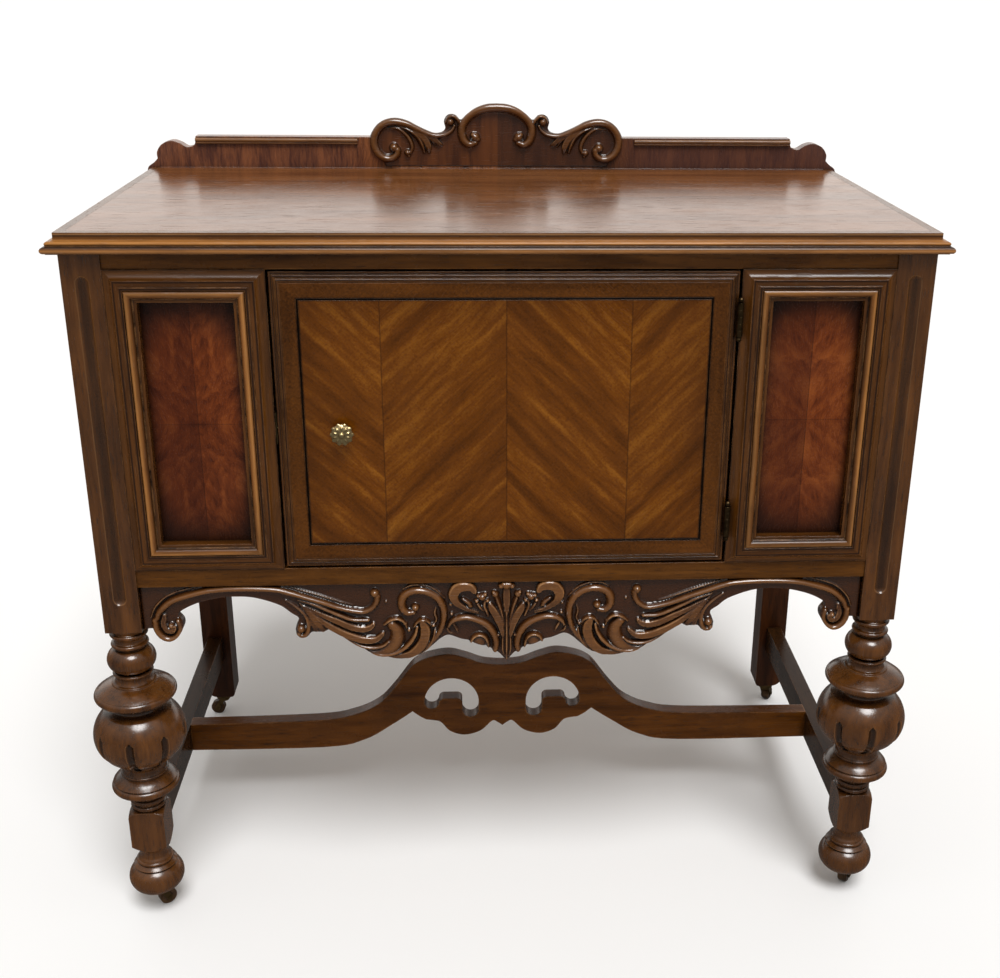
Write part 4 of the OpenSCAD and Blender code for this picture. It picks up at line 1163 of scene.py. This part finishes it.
class CABINET_OT_carving(Operator):
    """Carve the apron and the gallery's crest"""

    bl_idname = "cabinet.carving"
    bl_label = "Carving"

    def execute(self, context):
        settings = context.scene.cabinet_carving
        step = settings.step
        outline = [(471, RAIL_Z / MM), *along(APRON_EDGE, 3.0).tolist()]
        back = high("apron_board").y
        apron = carved_board("carved_apron", outline, APRON_STROKES, CASE_FRONT + 9 * MM, back, step)
        apron.data.materials.append(carved_walnut("carved_walnut"))
        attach(apron, "cabinet")
        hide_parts("apron_board", "apron_carving")
        fuller = [
            (section, [(x, z, wide * settings.swell, tall) for x, z, wide, tall in points])
            for section, points in CREST_STROKES
        ]
        outline = [*along(CREST_EDGE[:-1], 3.0).tolist(), CREST_EDGE[-1]]
        back = high("gallery_crest").y
        crest = carved_board("carved_crest", outline, fuller, back - 0.6 * MM, back, step * 0.8)
        crest.data.materials.append(carved_walnut("carved_crest_walnut", True))
        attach(crest, "cabinet")
        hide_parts("gallery_crest")
        return {"FINISHED"}


class CABINET_OT_legs(Operator):
    """Turn the front legs"""

    bl_idname = "cabinet.legs"
    bl_label = "Front legs"

    def execute(self, context):
        wood = walnut(
            "walnut_turned", "z", paint(52, 26, 4), paint(102, 60, 20), 0.2, 0.6, shine=0.8, reach=0.02,
            corner_shade=0.85, radius=0.001, grooved=True,
        )
        for word, side in (("left", -1), ("right", 1)):
            node = "front_leg_" + word
            leg = turned_leg("turned_leg_" + word, node, side)
            leg.data.materials.append(wood)
            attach(leg, "cabinet")
            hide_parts(node)
        return {"FINISHED"}


class CABINET_OT_metalwork(Operator):
    """Finish the hinges, the knob, the catch and the casters"""

    bl_idname = "cabinet.metalwork"
    bl_label = "Metalwork"

    def execute(self, context):
        look = context.scene.cabinet_finish
        catch = metal("catch_brass", tuple(look.brass), paint(84, 64, 38), 0.3, 0.45)
        finish_boards(catch, "catch_barrel", "strike_plate")
        hinge = metal("hinge_brass", tuple(look.hinge_brass), paint(30, 22, 14), 0.3, 0.9)
        hinges = "case_upper", "case_lower", "door_upper", "door_lower", "screws_case", "screws_door"
        finish_boards(hinge, *("hinge_" + word for word in (*hinges, "pin_upper", "pin_lower")))
        finish_boards(metal("bolt_steel", paint(150, 146, 138), paint(74, 66, 58)), "knob_bolt", "catch_ball")
        iron = metal("caster_iron", tuple(look.caster), paint(50, 38, 26), 0.36, 0.7)
        wheel = walnut("caster_wood", "x", paint(48, 32, 18), paint(96, 70, 44), 0.35, 0.4)
        finish_boards(iron, "caster_sockets")
        for corner in ("front_left", "front_right", "rear_left", "rear_right"):
            finish_boards(iron, "caster_fork_" + corner)
            finish_boards(wheel, "caster_wheel_" + corner)
        return {"FINISHED"}


class CABINET_OT_knob(Operator):
    """Grow the knob's rosette"""

    bl_idname = "cabinet.knob"
    bl_label = "Knob"

    def execute(self, context):
        settings = context.scene.cabinet_knob
        brass = metal("aged_brass", tuple(context.scene.cabinet_finish.brass), paint(70, 52, 28), 0.26, 0.35)
        mesh = grown("knob_rosette", rosette_tree(brass), {
            "Petals": settings.petals, "Radius": settings.radius, "Reach": settings.reach
        })
        seat = Vector((middle("knob").x, high("knob").y, middle("knob").z))
        mesh.transform(Matrix.Translation(seat) @ Matrix.Rotation(math.radians(90), 4, "X"))
        for face in mesh.polygons:
            face.use_smooth = True
        rosette = add_piece("knob_rosette", mesh)
        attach(rosette, "door")
        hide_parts("knob")
        return {"FINISHED"}


CLASSES = (
    StageSettings,
    FinishSettings,
    KnobSettings,
    CarvingSettings,
    CABINET_OT_stage,
    CABINET_OT_boards,
    CABINET_OT_veneers,
    CABINET_OT_carving,
    CABINET_OT_legs,
    CABINET_OT_metalwork,
    CABINET_OT_knob,
)
GROUPS = {
    "cabinet_stage": StageSettings, "cabinet_finish": FinishSettings, "cabinet_knob": KnobSettings,
    "cabinet_carving": CarvingSettings,
}
STEPS = ("stage", "boards", "veneers", "carving", "legs", "metalwork", "knob")


class CABINET_PT_pieces(Panel):
    """Lists the cabinet's steps and their settings"""

    bl_idname = "CABINET_PT_pieces"
    bl_label = "Cabinet"
    bl_space_type = "VIEW_3D"
    bl_region_type = "UI"
    bl_category = "Cabinet"

    def draw(self, context):
        for step in STEPS:
            self.layout.operator("cabinet." + step)
        scene = context.scene
        for group in GROUPS:
            settings = getattr(scene, group)
            for key in settings.bl_rna.properties.keys():
                if key not in ("rna_type", "name"):
                    self.layout.prop(settings, key)


def register():
    for item in (*CLASSES, CABINET_PT_pieces):
        bpy.utils.register_class(item)
    for group, settings in GROUPS.items():
        setattr(bpy.types.Scene, group, PointerProperty(type=settings))


def unregister():
    for group in GROUPS:
        delattr(bpy.types.Scene, group)
    for item in reversed((*CLASSES, CABINET_PT_pieces)):
        bpy.utils.unregister_class(item)


def main():
    register()
    for step in STEPS:
        getattr(bpy.ops.cabinet, step)()


if __name__ == "__main__":
    main()
